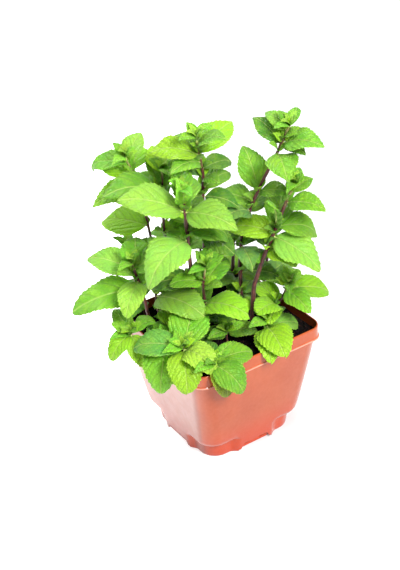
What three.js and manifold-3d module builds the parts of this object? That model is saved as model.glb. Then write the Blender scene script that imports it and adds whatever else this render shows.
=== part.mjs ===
// A potted mint plant: a square terracotta-coloured nursery pot, its soil, and leafy stems.
// Millimetres, +Z up. The origin is on the pot's centre line, level with the soles of its feet.
import * as THREE from 'three';
import { mergeVertices } from 'three/addons/utils/BufferGeometryUtils.js';
import Module from 'manifold-3d';

const wasm = await Module();
wasm.setup();

// ---------------------------------------------------------------- driving dimensions
const RIM_WIDTH = 110;          // across the flats of the rim, outside
const POT_HEIGHT = 91;
const WALL = 1.4;
const RIM_BAND = 10.5;          // height of the plain band round the top
const RIM_STEP = 1.0;           // how far the band stands proud of the wall
const BASE_HALF = 41.4;         // half width the tapering wall would have at the ground
const FOOT_HALF = 38;           // half width over the four corner feet
const FOOT_HEIGHT = 13;         // height of the set-back corner above the ground
const FOOT_SOLE = 15;           // a foot's sole starts this far from the centre lines
const RIM_CORNER = 10;
const WALL_CORNER = 13.5;
const FLOOR_UNDERSIDE = 1.2;
const FLOOR = 1.8;
const ARCH_HEIGHT = 6;
const ARCH_HALF = 13;
const SLOT = { wide: 6, offset: 7.5, low: 3.1, high: 5.6 };
const BASE_THICKENING = 1.6;    // extra wall round the floor, where the arches and slots are cut
const FIT = 0.35;               // clearance between pieces that touch

const SOIL_TOP = 84;
const SOIL_LUMPS = 1.6;         // height of the soil's low hills
const ROOT_DEPTH = 18;

const LEAF_THICKNESS = 0.7;
const LEAF_WIDTH = 0.68;        // blade width as a share of its length
const LEAF_BOW = 0.1;           // how far a blade arches above its chord, as a share of length
const LEAF_FOLD = 0.2;          // rise of each half blade per unit of width
const STALK_HALF = 1.1;         // half width of a leaf's stalk where it meets the blade
const STALK_SUNK = 0.8;         // how far past the stem's axis the stalk's root goes
const STALK_THICKNESS = 1.1;
const TOOTH = 0.06;             // depth of a marginal tooth as a share of blade width
const LIGHT = [-0.22, -0.34, 1]; // leaves turn their upper faces this way
const LEAF_GAP = 2.0;           // least distance kept between blades
const STEM_GAP = 4.2;           // least distance kept from a blade to a stem's axis
const STEM_STEP = 16;           // distance between the rings of a stalk
const NODE_SPACING = 25;        // distance between leaf pairs along a stem
const NEAR_NODE = 8;            // leaves of one stem may touch this close to their nodes
const AWAY = 57;                // the heading that the sparser side of each stem faces

// ---------------------------------------------------------------- the leafy stems, laid out by hand
// path: points of the stem's axis from the soil up. girth: half its thickness at the soil.
// leaves: [place along the path 0..1, heading, pitch, length, roll, breadth], in degrees and
// millimetres; heading 0 is +X, 90 is +Y. fill: which further leaf pairs the growth rule adds.
const STEMS = [
  { name: 'stem_tall_front', girth: 1.7, turn: 65, fill: 'away',
    path: [[-21, -3, 84], [-21, 2, 167], [-22, 2, 187], [-22, 3, 205]],
    leaves: [[.68, 155, 20, 48], [.68, 295, -2, 41], [.76, 45, 20, 30], [.76, 190, 65, 24],
      [.34, 195, -20, 46], [.37, 345, -20, 34],
      [.20, 130, -8, 30]] },
  { name: 'stem_tall_centre', girth: 1.5, turn: 10, fill: 'all',
    path: [[-1, 15, 84], [2, 15, 181], [3, 15, 205], [-1, 15, 234]],
    leaves: [[.83, 100, 10, 28], [.82, 155, 15, 34], [.76, 195, 30, 30], [.83, 15, 15, 38],
      [.70, 0, -5, 26], [.58, 275, 10, 18], [.38, 300, -5, 28], [.38, 190, 5, 26],
      [.24, 280, -5, 30]] },
  { name: 'stem_tall_right', girth: 1.6, turn: 20, fill: 'all',
    path: [[17, -7, 84], [22, 0, 144], [34, -3, 181], [50, -11, 217], [57, -15, 236]],
    leaves: [[.80, 100, 25, 30], [.81, 290, 10, 34], [.84, 0, 0, 20], [.80, 295, 0, 20],
      [.74, 245, -10, 32, 0, 1.15], [.54, 82, 60, 34], [.53, 300, 25, 24], [.48, 115, 0, 32],
      [.30, 140, 10, 26], [.32, 55, 30, 22],
      [.26, 250, 0, 30], [.17, 315, 0, 28]] },
  { name: 'stem_leaning_right', girth: 1.9, turn: 40, fill: 'away',
    path: [[12, -25, 84], [18, -21, 123], [33, -26, 163], [42, -27, 182], [51, -28, 198]],
    leaves: [[.88, 0, 25, 20], [.79, 295, 5, 30], [.57, 45, 20, 34], [.56, 335, -20, 32],
      [.49, 295, -10, 42], [.43, 340, -25, 26], [.42, 285, -5, 26], [.51, 115, 0, 34], [.35, 95, 0, 24],
      [.55, 215, 66, 32, 0, .85]] },
  { name: 'stem_left', girth: 1.6, turn: 30, fill: 'away',
    path: [[-44, 22, 84], [-49, 22, 122], [-53, 22, 137], [-56, 23, 151]],
    leaves: [[.76, 55, 20, 34], [.80, 120, 5, 36], [.83, 315, 25, 28], [.73, 155, 30, 16],
      [.58, 220, -15, 32], [.45, 160, -10, 52, 0, .8], [.50, 35, -5, 18]] },
  { name: 'stem_front_left', girth: 1.4, turn: 0, fill: 'none',
    path: [[-42, -24, 84], [-47, -27, 95], [-50, -29, 105]],
    leaves: [[.90, 138, 0, 36], [.85, 40, 24, 38, 0, 1.2], [.80, 290, -24, 30, 0, 1.2],
      [.80, 256, -36, 33, 0, 1.2], [.95, 160, 40, 12], [.95, 260, 45, 12]] },
  { name: 'stem_left_corner', girth: 1.2, turn: 0, fill: 'none',
    path: [[-42, -6, 84], [-47, -8, 93], [-51, -10, 99]],
    leaves: [[.95, 225, -45, 38, 0, 1.2], [.85, 70, 10, 24], [.95, 165, -10, 20]] },
  { name: 'stem_front', girth: 1.2, turn: 0, fill: 'none',
    path: [[-30, -38, 84], [-34, -45, 94], [-40, -52, 97]],
    leaves: [[.95, 292, -32, 28, 0, 1.25], [.95, 262, -60, 25],
      [.60, 355, -6, 30, 0, 1.1], [.80, 75, 20, 20]] },
  { name: 'stem_low_centre', girth: 1.1, turn: 0, fill: 'away',
    path: [[-8, -22, 84], [-9, -23, 92], [-9, -24, 98]],
    leaves: [[.80, 345, -10, 24], [.80, 165, 0, 20]] },
  { name: 'stem_middle', girth: 1.4, turn: 15, fill: 'away',
    path: [[-14, -6, 84], [-17, -9, 120], [-18, -10, 133], [-15, -10, 148]],
    leaves: [[.62, 20, 15, 30], [.90, 30, 18, 25, 0, 1.1], [.70, 150, 5, 24], [.59, 295, 20, 16],
      [.32, 285, 10, 40], [.16, 330, 5, 26]] },
  { name: 'stem_low_right', girth: 1.4, turn: 60, fill: 'none',
    path: [[23, -24, 84], [32, -28, 104], [38, -29, 110], [43, -30, 121]],
    leaves: [[.84, 340, -15, 34], [.81, 270, -10, 28], [.88, 35, 10, 22], [.88, 80, 15, 30],
      [.40, 200, 15, 27, 0, 1.2], [.30, 225, 0, 22], [.45, 95, 15, 26]] },
  { name: 'stem_front_right', girth: 1.1, turn: 0, fill: 'none',
    path: [[21, -34, 84], [17, -36, 95], [18, -36, 102]],
    leaves: [[.60, 255, -5, 34, 0, 1.2], [.56, 5, -15, 28], [.45, 235, -10, 32]] },
  { name: 'stem_left_inner', girth: 1.4, turn: 75, fill: 'all',
    path: [[-37, 14, 84], [-38, 18, 100], [-41, 20, 119], [-30, 22, 151]],
    leaves: [[.62, 300, 5, 44], [.45, 290, -20, 30], [.91, 85, 20, 30], [.89, 20, 5, 28], [.70, 10, -5, 34],
      [.25, 225, -8, 28]] },
  { name: 'stem_over_left_rim', girth: 1.1, turn: 0, fill: 'none',
    path: [[-44, 31, 84], [-51, 27, 97], [-61, 18, 104], [-71, 7, 103]],
    leaves: [[.96, 95, 35, 22], [.96, 145, 25, 16], [.96, 195, -25, 24],
      [.96, 270, -35, 26], [.66, 310, 10, 16]] },
  { name: 'stem_upper_left', girth: 1.3, turn: 30, fill: 'away',
    path: [[-20, 40, 84], [-27, 44, 158], [-31, 51, 196], [-36, 54, 215]],
    leaves: [[.88, 120, -15, 33], [.75, 45, 10, 32], [.58, 175, 0, 36], [.35, 120, -5, 39, 0, 1.15]] },
  { name: 'stem_upper_middle', girth: 1.3, turn: 70, fill: 'away',
    path: [[-20, 26, 84], [-19, 36, 158], [-17, 37, 188], [-16, 38, 205]],
    leaves: [[.67, 172, 12, 46], [.75, 60, 25, 34], [.71, 40, 30, 28], [.32, 200, 45, 14]] },
  { name: 'stem_back_left', girth: 1.5, turn: 50, fill: 'all',
    path: [[-36, 42, 84], [-38, 50, 112], [-39, 58, 140]], leaves: [] },
  { name: 'stem_back', girth: 1.6, turn: 20, fill: 'all',
    path: [[6, 40, 84], [10, 50, 124], [14, 57, 162]], leaves: [] },
  { name: 'stem_back_right', girth: 1.6, turn: 65, fill: 'all',
    path: [[32, 28, 84], [42, 38, 118], [50, 47, 150]], leaves: [] },
  { name: 'stem_right_rear', girth: 1.5, turn: 5, fill: 'all',
    path: [[42, 5, 84], [52, 10, 112], [60, 14, 138]], leaves: [] },
  { name: 'stem_back_low', girth: 1.3, turn: 35, fill: 'all',
    path: [[22, 45, 84], [26, 58, 106], [30, 70, 124]], leaves: [] },
];

// ---------------------------------------------------------------- small tools
const radians = THREE.MathUtils.degToRad;
const mix = (a, b, share) => a + (b - a) * share;
const scatter = (k) => {
  const value = Math.sin(k * 12.9898) * 43758.5453;
  return value - Math.floor(value);
};

function toSolid(geometry) {
  const bare = geometry.clone();
  bare.deleteAttribute('normal');
  bare.deleteAttribute('uv');
  const merged = mergeVertices(bare, 1e-4);
  return new wasm.Manifold(new wasm.Mesh({
    numProp: 3,
    vertProperties: new Float32Array(merged.attributes.position.array),
    triVerts: new Uint32Array(merged.index.array),
  }));
}

function toGeometry(solid) {
  const mesh = solid.getMesh();
  const positions = new THREE.BufferAttribute(new Float32Array(mesh.vertProperties), 3);
  const geometry = new THREE.BufferGeometry().setAttribute('position', positions);
  geometry.setIndex(new THREE.BufferAttribute(new Uint32Array(mesh.triVerts), 1));
  return geometry;
}

function fromPoints(points, triangles) {
  const geometry = new THREE.BufferGeometry().setFromPoints(points);
  geometry.setIndex(triangles);
  return geometry;
}

// A closed skin through rings of equally many points, each end closed by a flat fan.
function loft(rings) {
  const count = rings[0].length;
  const points = rings.flat();
  const triangles = [];
  for (let r = 0; r + 1 < rings.length; r += 1) {
    for (let i = 0; i < count; i += 1) {
      const a = r * count + i;
      const b = r * count + (i + 1) % count;
      triangles.push(a, b, b + count, a, b + count, a + count);
    }
  }
  const last = (rings.length - 1) * count;
  for (let i = 1; i + 1 < count; i += 1) {
    triangles.push(0, i + 1, i);
    triangles.push(last, last + i, last + i + 1);
  }
  return fromPoints(points, triangles);
}

const box = (x0, x1, y0, y1, z0, z1) => {
  const geometry = new THREE.BoxGeometry(x1 - x0, y1 - y0, z1 - z0);
  return toSolid(geometry.translate((x0 + x1) / 2, (y0 + y1) / 2, (z0 + z1) / 2));
};

// ---------------------------------------------------------------- pot
const CORNER_POINTS = 4;
const FOOT_ENDS = [14, 21];     // places along each flat between which a foot blends into the wall

// One level of the pot: a square with round corners, whose corners may be set back from the flats.
function potRing(z, half, corner, setBack = 0) {
  const quarter = [];
  const inner = half - setBack - corner;
  for (let i = 0; i <= CORNER_POINTS; i += 1) {
    const angle = (i / CORNER_POINTS) * Math.PI / 2;
    quarter.push([inner + corner * Math.cos(angle), inner + corner * Math.sin(angle)]);
  }
  const [near, far] = FOOT_ENDS;
  quarter.push([far, half - setBack], [near, half], [-near, half], [-far, half - setBack]);
  const ring = [];
  for (let turn = 0; turn < 4; turn += 1) {
    const spin = turn * Math.PI / 2;
    for (const [x, y] of quarter) {
      const px = x * Math.cos(spin) - y * Math.sin(spin);
      const py = x * Math.sin(spin) + y * Math.cos(spin);
      ring.push(new THREE.Vector3(px, py, z));
    }
  }
  return ring;
}

const rimHalf = RIM_WIDTH / 2;
const seam = POT_HEIGHT - RIM_BAND;
const wallHalf = (z) => mix(BASE_HALF, rimHalf - RIM_STEP, z / seam);
const footHalf = (z) => mix(FOOT_HALF, FOOT_HALF + 1.4, z / FOOT_HEIGHT);
const setBackAt = (z) => Math.max(0, wallHalf(z) - footHalf(z));

function potOutside() {
  const rings = [];
  for (const z of [0, FOOT_HEIGHT / 2, FOOT_HEIGHT]) {
    rings.push(potRing(z, wallHalf(z), WALL_CORNER, setBackAt(z)));
  }
  const shoulder = [[1.2, 0.45], [3, 0.15], [6, 0]];
  for (const [rise, share] of shoulder) {
    const z = FOOT_HEIGHT + rise;
    rings.push(potRing(z, wallHalf(z), WALL_CORNER, share * setBackAt(FOOT_HEIGHT)));
  }
  rings.push(potRing(50, wallHalf(50) + 0.3, WALL_CORNER));
  rings.push(potRing(seam, wallHalf(seam), WALL_CORNER));
  rings.push(potRing(seam + 0.4, rimHalf - 0.5, RIM_CORNER + 1));
  rings.push(potRing(POT_HEIGHT - 0.8, rimHalf, RIM_CORNER));
  rings.push(potRing(POT_HEIGHT, rimHalf - 0.4, RIM_CORNER));
  return toSolid(loft(rings));
}

// The space inside the walls, held a further gap away from them, up to the given top.
function potInside(gap, top) {
  const inset = WALL + gap;
  const floor = FLOOR_UNDERSIDE + FLOOR + gap;
  const thickTo = ARCH_HEIGHT + 0.5;
  const levels = [floor, thickTo, thickTo + 2, FOOT_HEIGHT - 1, FOOT_HEIGHT + 6, seam - 2, seam + 3, top];
  return levels.map((z) => {
    const thick = z > thickTo ? 0 : BASE_THICKENING;
    const back = z < FOOT_HEIGHT ? setBackAt(z) : 0;
    const half = z > seam ? rimHalf : wallHalf(z);
    const corner = z > seam ? RIM_CORNER : WALL_CORNER;
    return potRing(z, half - inset - thick, corner - inset - thick, back);
  });
}

function archCutter() {
  const slope = 1.5;
  const shape = new THREE.Shape();
  shape.moveTo(-ARCH_HALF - slope, -1);
  shape.lineTo(ARCH_HALF + slope, -1);
  shape.lineTo(ARCH_HALF - slope, ARCH_HEIGHT);
  shape.lineTo(-ARCH_HALF + slope, ARCH_HEIGHT);
  shape.closePath();
  const geometry = new THREE.ExtrudeGeometry(shape, { depth: 10, bevelEnabled: false });
  return geometry.rotateX(Math.PI / 2).translate(0, WALL - wallHalf(0), 0);
}

function makePot() {
  let pot = potOutside().subtract(toSolid(loft(potInside(0, POT_HEIGHT + 5))));
  const reach = wallHalf(0) + 5;
  const underside = box(-reach, reach, -FOOT_SOLE, FOOT_SOLE, -1, FLOOR_UNDERSIDE)
    .add(box(-FOOT_SOLE, FOOT_SOLE, -reach, reach, -1, FLOOR_UNDERSIDE));
  pot = pot.subtract(underside);
  for (let side = 0; side < 4; side += 1) {
    const spin = side * Math.PI / 2;
    pot = pot.subtract(toSolid(archCutter().rotateZ(spin)));
    for (const place of [-SLOT.offset, SLOT.offset]) {
      const slot = new THREE.BoxGeometry(SLOT.wide, 8, SLOT.high - SLOT.low);
      slot.translate(place, -wallHalf(0), (SLOT.low + SLOT.high) / 2);
      pot = pot.subtract(toSolid(slot.rotateZ(spin)));
    }
  }
  return pot;
}

// ---------------------------------------------------------------- stems
function pathPoint(path, place) {
  const spans = path.length - 1;
  const along = Math.min(place * spans, spans - 1e-9);
  const i = Math.floor(along);
  const f = along - i;
  const before = path[Math.max(i - 1, 0)];
  const from = path[i];
  const to = path[i + 1];
  const after = path[Math.min(i + 2, spans)];
  return from.map((_, k) => 0.5 * (2 * from[k] + (to[k] - before[k]) * f
    + (2 * before[k] - 5 * from[k] + 4 * to[k] - after[k]) * f * f
    + (3 * from[k] - before[k] - 3 * to[k] + after[k]) * f * f * f));
}

function pathLength(path) {
  let total = 0;
  for (let i = 1; i <= 24; i += 1) {
    const a = new THREE.Vector3(...pathPoint(path, (i - 1) / 24));
    total += a.distanceTo(new THREE.Vector3(...pathPoint(path, i / 24)));
  }
  return total;
}

// A square stalk along points, each with its own half thickness.
function stalk(points, radii) {
  const rings = [];
  const up = new THREE.Vector3(0.31, 0.95, 0.02).normalize();    // along no stem
  for (let i = 0; i < points.length; i += 1) {
    const before = points[Math.max(i - 1, 0)];
    const after = points[Math.min(i + 1, points.length - 1)];
    const along = new THREE.Vector3().subVectors(after, before).normalize();
    const across = new THREE.Vector3().crossVectors(up, along).normalize();
    const other = new THREE.Vector3().crossVectors(along, across);
    const corners = [[1, 0], [0, 1], [-1, 0], [0, -1]];
    rings.push(corners.map(([a, b]) => points[i].clone()
      .addScaledVector(across, radii[i] * a)
      .addScaledVector(other, radii[i] * b)));
  }
  return toSolid(loft(rings));
}

const stemSteps = (stem) => Math.max(3, Math.round(pathLength(stem.path) / STEM_STEP));

// A point of the stem's axis as it is built: straight from one ring of its stalk to the next.
function stemPoint(stem, place) {
  const steps = stemSteps(stem);
  const along = Math.min(place * steps, steps - 1e-9);
  const low = new THREE.Vector3(...pathPoint(stem.path, Math.floor(along) / steps));
  const high = new THREE.Vector3(...pathPoint(stem.path, (Math.floor(along) + 1) / steps));
  return low.lerp(high, along - Math.floor(along));
}

function stemSolid(stem, extra = 0) {
  const steps = stemSteps(stem);
  const points = [stemPoint(stem, 0).setZ(SOIL_TOP - ROOT_DEPTH - extra)];
  const radii = [stem.girth * 1.2 + extra];
  for (let i = 0; i <= steps; i += 1) {
    points.push(stemPoint(stem, i / steps));
    radii.push(stem.girth * mix(1.2, 0.75, i / steps) + extra);
  }
  return stalk(points, radii);
}

// ---------------------------------------------------------------- leaves
const leafHalfWidth = (leaf, q) => {
  const share = Math.min(Math.max(q, 0), 1);
  return leaf.half * Math.pow(Math.sin(Math.PI * Math.pow(share, 0.76)), 0.92);
};

// How far the blade lies above its chord: none on the stalk, where q is below 0.
const leafHeight = (leaf, q, y) => (
  q < 0 ? 0 : leaf.bow * 4 * q * (1 - q) + LEAF_FOLD * Math.abs(y));

function makeLeaf(stem, [place, heading, pitch, length, roll = 0, breadth = 1]) {
  const base = stemPoint(stem, place);
  const petiole = 1.5 + 0.11 * length;
  const blade = length - petiole;
  const bow = length * (pitch < -18 ? LEAF_BOW * 2 : LEAF_BOW);
  const leaf = { stem, base, roll, petiole, blade, bow, length };
  leaf.half = blade * LEAF_WIDTH * breadth / 2;
  return aimLeaf(leaf, heading, pitch);
}

function aimLeaf(leaf, heading, pitch) {
  const h = radians(heading);
  const p = radians(pitch);
  const r = radians(leaf.roll);
  const along = new THREE.Vector3(Math.cos(h) * Math.cos(p), Math.sin(h) * Math.cos(p), Math.sin(p));
  const light = new THREE.Vector3(...(leaf.stem.leaves.length ? LIGHT : [0, 0, 1]));
  const level = new THREE.Vector3().crossVectors(light, along).normalize();
  const upper = new THREE.Vector3().crossVectors(along, level);
  const across = level.clone().multiplyScalar(Math.cos(r)).addScaledVector(upper, Math.sin(r));
  const up = new THREE.Vector3().crossVectors(along, across);
  return { ...leaf, heading, pitch, along, across, up };
}

// A point of the leaf: q runs 0..1 from the blade's foot to its tip, and y is across.
function leafPoint(leaf, q, y) {
  return leaf.base.clone()
    .addScaledVector(leaf.along, leaf.petiole + q * leaf.blade)
    .addScaledVector(leaf.across, y)
    .addScaledVector(leaf.up, leafHeight(leaf, q, y));
}

const SAMPLE_PLACES = [0, 0.14, 0.28, 0.42, 0.56, 0.7, 0.84, 1];
const SAMPLE_SIDES = [-1, -0.67, -0.33, 0, 0.33, 0.67, 1];

function leafSamples(leaf) {
  const samples = [leafPoint(leaf, -0.5 * leaf.petiole / leaf.blade, 0)];
  for (const q of SAMPLE_PLACES) {
    for (const side of SAMPLE_SIDES) samples.push(leafPoint(leaf, q, side * leafHalfWidth(leaf, q)));
  }
  return samples;
}

function nearLeaf(leaf, point) {
  const offset = point.clone().sub(leaf.base);
  const x = offset.dot(leaf.along);
  const y = offset.dot(leaf.across);
  const q = (x - leaf.petiole) / leaf.blade;
  const margin = LEAF_GAP / leaf.blade;
  if (x < 0 || q > 1 + margin) return false;
  const reach = q < 0 ? LEAF_GAP : leafHalfWidth(leaf, q) + LEAF_GAP;
  if (Math.abs(y) > reach) return false;
  const surface = q < 0 ? 0 : leafHeight(leaf, Math.min(q, 1), y);
  return Math.abs(offset.dot(leaf.up) - surface) < LEAF_GAP;
}

const nearRim = (p) => {
  const out = Math.max(Math.abs(p.x), Math.abs(p.y));
  const inRim = out > rimHalf - 3 && out < rimHalf + 2 && p.z < POT_HEIGHT + 2;
  const inSoil = out < rimHalf && p.z < SOIL_TOP + SOIL_LUMPS + 2;
  return inRim || inSoil;
};

function nearStem(stem, p) {
  return stem.axis.some((a) => Math.hypot(a.x - p.x, a.y - p.y, a.z - p.z) < STEM_GAP);
}

// True where a leaf stays clear of the pot, of the other stems and of the leaves placed so far.
function isClear(leaf, placed) {
  const samples = leafSamples(leaf);
  const outer = samples.filter((p) => p.distanceTo(leaf.base) > NEAR_NODE);
  if (outer.some(nearRim)) return false;
  for (const stem of STEMS) {
    const tested = stem === leaf.stem ? outer : samples;
    if (tested.some((p) => nearStem(stem, p))) return false;
  }
  for (const other of placed) {
    if (other.base.distanceTo(leaf.base) > other.length + leaf.length + 4) continue;
    const sameStem = other.stem === leaf.stem;
    const mine = sameStem ? outer : samples;
    if (mine.some((p) => nearLeaf(other, p))) return false;
    const apart = sameStem ? NEAR_NODE : 0;
    const theirs = other.samples.filter((p) => p.distanceTo(other.base) > apart);
    if (theirs.some((p) => nearLeaf(leaf, p))) return false;
  }
  return true;
}

// Turns a leaf about its own node, a little further each time, until it is clear of the rest.
const GOLDEN_ANGLE = 137.5;
const SWING_STEP = 2.4;
function bendClear(leaf, placed, tries) {
  for (let i = 0; i < tries; i += 1) {
    const swing = SWING_STEP * Math.sqrt(i);
    const turn = radians(i * GOLDEN_ANGLE);
    const heading = leaf.heading + swing * Math.cos(turn);
    const bent = aimLeaf(leaf, heading, leaf.pitch + swing * Math.sin(turn));
    if (isClear(bent, placed)) return bent;
  }
  return null;
}

// The growth rule: a pair of leaves at each node, each pair a quarter turn on from the last.
function growthRule(stem) {
  const rows = [];
  if (stem.fill === 'none') return rows;
  const length = pathLength(stem.path);
  const count = Math.round(length / NODE_SPACING);
  for (let k = 0; k < count; k += 1) {
    const place = (k + 0.7) / (count + 0.2);
    for (const half of [0, 180]) {
      const seed = stem.number * 31 + k * 7 + half;
      const heading = stem.turn + 90 * k + half + 24 * (scatter(seed) - 0.5);
      const facesAway = Math.cos(radians(heading - AWAY)) > 0.1;
      if (stem.fill === 'away' && !facesAway) continue;
      const taken = stem.leaves.some(([at, other]) => Math.abs(at - place) * length < 14
        && Math.cos(radians(other - heading)) > 0.4);
      if (taken) continue;
      const size = mix(38, 24, place) * mix(0.85, 1.1, scatter(seed + 1));
      rows.push([place, heading, mix(-16, 28, place) + 14 * (scatter(seed + 2) - 0.5), size]);
    }
  }
  return rows;
}

// A pair of small leaves folded up round each growing tip.
const budRule = (stem) => [[0.98, stem.turn + 90, 50, 13], [0.98, stem.turn - 90, 55, 11]];

function placeLeaves() {
  const placed = [];
  STEMS.forEach((stem, number) => {
    stem.number = number;
    const steps = Math.ceil(pathLength(stem.path) / 3);
    stem.axis = Array.from({ length: steps + 1 }, (_, i) => stemPoint(stem, i / steps));
  });
  const grow = (rule, tries) => {
    for (const stem of STEMS) {
      for (const row of rule(stem)) {
        const leaf = bendClear(makeLeaf(stem, row), placed, tries);
        if (leaf) placed.push({ ...leaf, samples: leafSamples(leaf) });
      }
    }
  };
  grow((stem) => stem.leaves, 120);
  grow(budRule, 60);
  grow(growthRule, 60);
  return placed;
}

// A thin folded blade with a toothed edge and its stalk, as one skin whose two faces are split alike.
function leafSolid(leaf) {
  const teeth = leaf.blade > 33 ? 4 : leaf.blade > 20 ? 3 : 2;
  const tops = [];
  const unders = [];
  const put = (q, y, thickness) => {
    const slope = q < 0 ? 0 : leaf.bow * 4 * (1 - 2 * q) / leaf.blade;
    const top = leafPoint(leaf, q, y);
    const normal = leaf.up.clone().addScaledVector(leaf.along, -slope).normalize();
    tops.push(top);
    unders.push(top.clone().addScaledVector(normal, -thickness));
    return tops.length - 1;
  };
  const left = [];
  const right = [];
  const pair = (q, half, thickness = LEAF_THICKNESS) => {
    left.push(put(q, half, thickness));
    right.push(put(q, -half, thickness));
  };
  const depth = TOOTH * leaf.half * 2;
  const rib = [put(-(leaf.petiole + STALK_SUNK) / leaf.blade, 0, STALK_THICKNESS)];
  for (let k = 0; k < teeth; k += 1) {
    const q = k / teeth;
    rib.push(put(q, 0, k ? LEAF_THICKNESS : STALK_THICKNESS));
    pair(q, Math.max(leafHalfWidth(leaf, q) - 0.3 * depth, STALK_HALF));
    const qTooth = (k + 0.62) / teeth;
    pair(qTooth, leafHalfWidth(leaf, qTooth) + depth);
  }
  const tip = put(1, 0, LEAF_THICKNESS);
  const face = [[rib[0], right[0], rib[1]], [rib[0], rib[1], left[0]]];
  for (let k = 0; k < teeth; k += 1) {
    const here = rib[k + 1];
    const next = k + 1 < teeth ? rib[k + 2] : tip;
    const notch = 2 * k;
    const tooth = notch + 1;
    face.push([here, left[tooth], left[notch]], [here, next, left[tooth]]);
    face.push([here, right[notch], right[tooth]], [here, right[tooth], next]);
    if (k + 1 < teeth) {
      face.push([next, left[tooth + 1], left[tooth]], [next, right[tooth], right[tooth + 1]]);
    }
  }
  const outline = [...right, tip, ...left.reverse(), rib[0]];
  const count = tops.length;
  const triangles = [];
  for (const [i, j, k] of face) triangles.push(i, j, k, i + count, k + count, j + count);
  outline.forEach((i, at) => {
    const j = outline[(at + 1) % outline.length];
    triangles.push(j, i, i + count, j, i + count, j + count);
  });
  return toSolid(fromPoints([...tops, ...unders], triangles));
}

function makeStem(stem, leaves) {
  const own = leaves.filter((leaf) => leaf.stem === stem);
  const pieces = [stemSolid(stem), ...own.map(leafSolid)];
  return wasm.Manifold.union(pieces).simplify(0.08);
}

// ---------------------------------------------------------------- soil
function soilHill(x, y, seed) {
  const swell = Math.sin(x * 0.21 + 1) * Math.cos(y * 0.17);
  return SOIL_LUMPS * (swell + 0.8 * (scatter(seed) - 0.5));
}

function makeSoil() {
  const rings = potInside(FIT, SOIL_TOP);
  const rim = rings[rings.length - 1];
  for (const share of [0.9, 0.65, 0.35]) {
    const rise = Math.min(1, (1 - share) * 6);
    rings.push(rim.map((p, i) => {
      const x = p.x * share;
      const y = p.y * share;
      return new THREE.Vector3(x, y, SOIL_TOP + rise * soilHill(x, y, 100 * share + i));
    }));
  }
  let soil = toSolid(loft(rings));
  for (const stem of STEMS) soil = soil.subtract(stemSolid(stem, FIT));
  return soil.simplify(0.15);
}

// ---------------------------------------------------------------- the potted plant
const plastic = new THREE.MeshStandardMaterial({ color: 0xd6694a, roughness: 0.45, metalness: 0 });
const earth = new THREE.MeshStandardMaterial({ color: 0x2b1d17, roughness: 1, metalness: 0 });
const green = new THREE.MeshStandardMaterial({ color: 0x7cb342, roughness: 0.6, metalness: 0 });

function part(name, solid, material) {
  const mesh = new THREE.Mesh(toGeometry(solid), material.clone());
  mesh.name = name;
  return mesh;
}

const plant = new THREE.Group();
const leaves = placeLeaves();
plant.add(part('pot', makePot(), plastic));
plant.add(part('soil', makeSoil(), earth));
for (const stem of STEMS) plant.add(part(stem.name, makeStem(stem, leaves), green));

export default plant;
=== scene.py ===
import math

import bpy
import numpy as np
from mathutils import Matrix, Vector


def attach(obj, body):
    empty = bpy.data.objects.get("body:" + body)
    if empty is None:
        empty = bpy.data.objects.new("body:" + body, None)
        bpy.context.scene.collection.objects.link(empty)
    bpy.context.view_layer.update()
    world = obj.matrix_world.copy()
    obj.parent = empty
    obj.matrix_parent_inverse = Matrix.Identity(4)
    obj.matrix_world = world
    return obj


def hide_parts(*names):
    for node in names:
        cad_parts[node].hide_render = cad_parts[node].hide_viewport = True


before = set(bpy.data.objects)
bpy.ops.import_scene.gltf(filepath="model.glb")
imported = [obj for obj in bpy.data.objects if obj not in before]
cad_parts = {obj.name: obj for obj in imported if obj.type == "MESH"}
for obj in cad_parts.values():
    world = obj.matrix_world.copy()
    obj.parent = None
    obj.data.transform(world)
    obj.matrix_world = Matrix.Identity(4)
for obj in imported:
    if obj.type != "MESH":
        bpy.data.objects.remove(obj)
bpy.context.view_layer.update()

MM = 0.001

# ------------------------------------------------------------------ pot and soil sizes, millimetres
RIM_WIDTH = 110             # across the flats of the rim, outside
RIM_HALF = RIM_WIDTH / 2
POT_HEIGHT = 91
WALL = 1.4
RIM_BAND = 10.5             # height of the plain band round the top
SEAM = POT_HEIGHT - RIM_BAND            # where the wall meets that band
RIM_STEP = 1.0              # how far the band stands proud of the wall
BASE_HALF = 41.4            # half width the tapering wall would have at the ground
FOOT_HALF = 38              # half width over the four corner feet, at the ground
FOOT_FLARE = 1.4            # how much further out a foot reaches at its top
FOOT_HEIGHT = 13
FOOT_SOLE = 15              # a foot's sole starts this far from the centre lines
FOOT_BLEND = (14, 21)       # places along each flat between which a foot blends into the wall
RIM_CORNER = 10             # corner radii of the rim and of the wall
WALL_CORNER = 13.5
FLOOR_UNDERSIDE = 1.2
FLOOR = 1.8
ARCH_HEIGHT = 6
ARCH_HALF = 13
ARCH_SLOPE = 1.5            # how far a side of an arch leans out below, and in above
ARCH_ROUND = 2              # radius of its upper corners
SLOT_WIDE, SLOT_OFFSET, SLOT_LOW, SLOT_HIGH = 6, 7.5, 3.1, 5.6     # drainage, two in each wall
BASE_THICKENING = 1.6       # extra wall round the floor, where the arches and slots are cut
FIT = 0.35                  # clearance between the soil and the pot
BEAD = 0.75                 # how far the bead under the rim band stands out
BEAD_RISE = 0.8             # height of the bead's crest above the band's lower edge
SOIL_TOP = 84
SOIL_LUMPS = 1.6            # height of the soil's low hills
ROOT_DEPTH = 18

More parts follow.
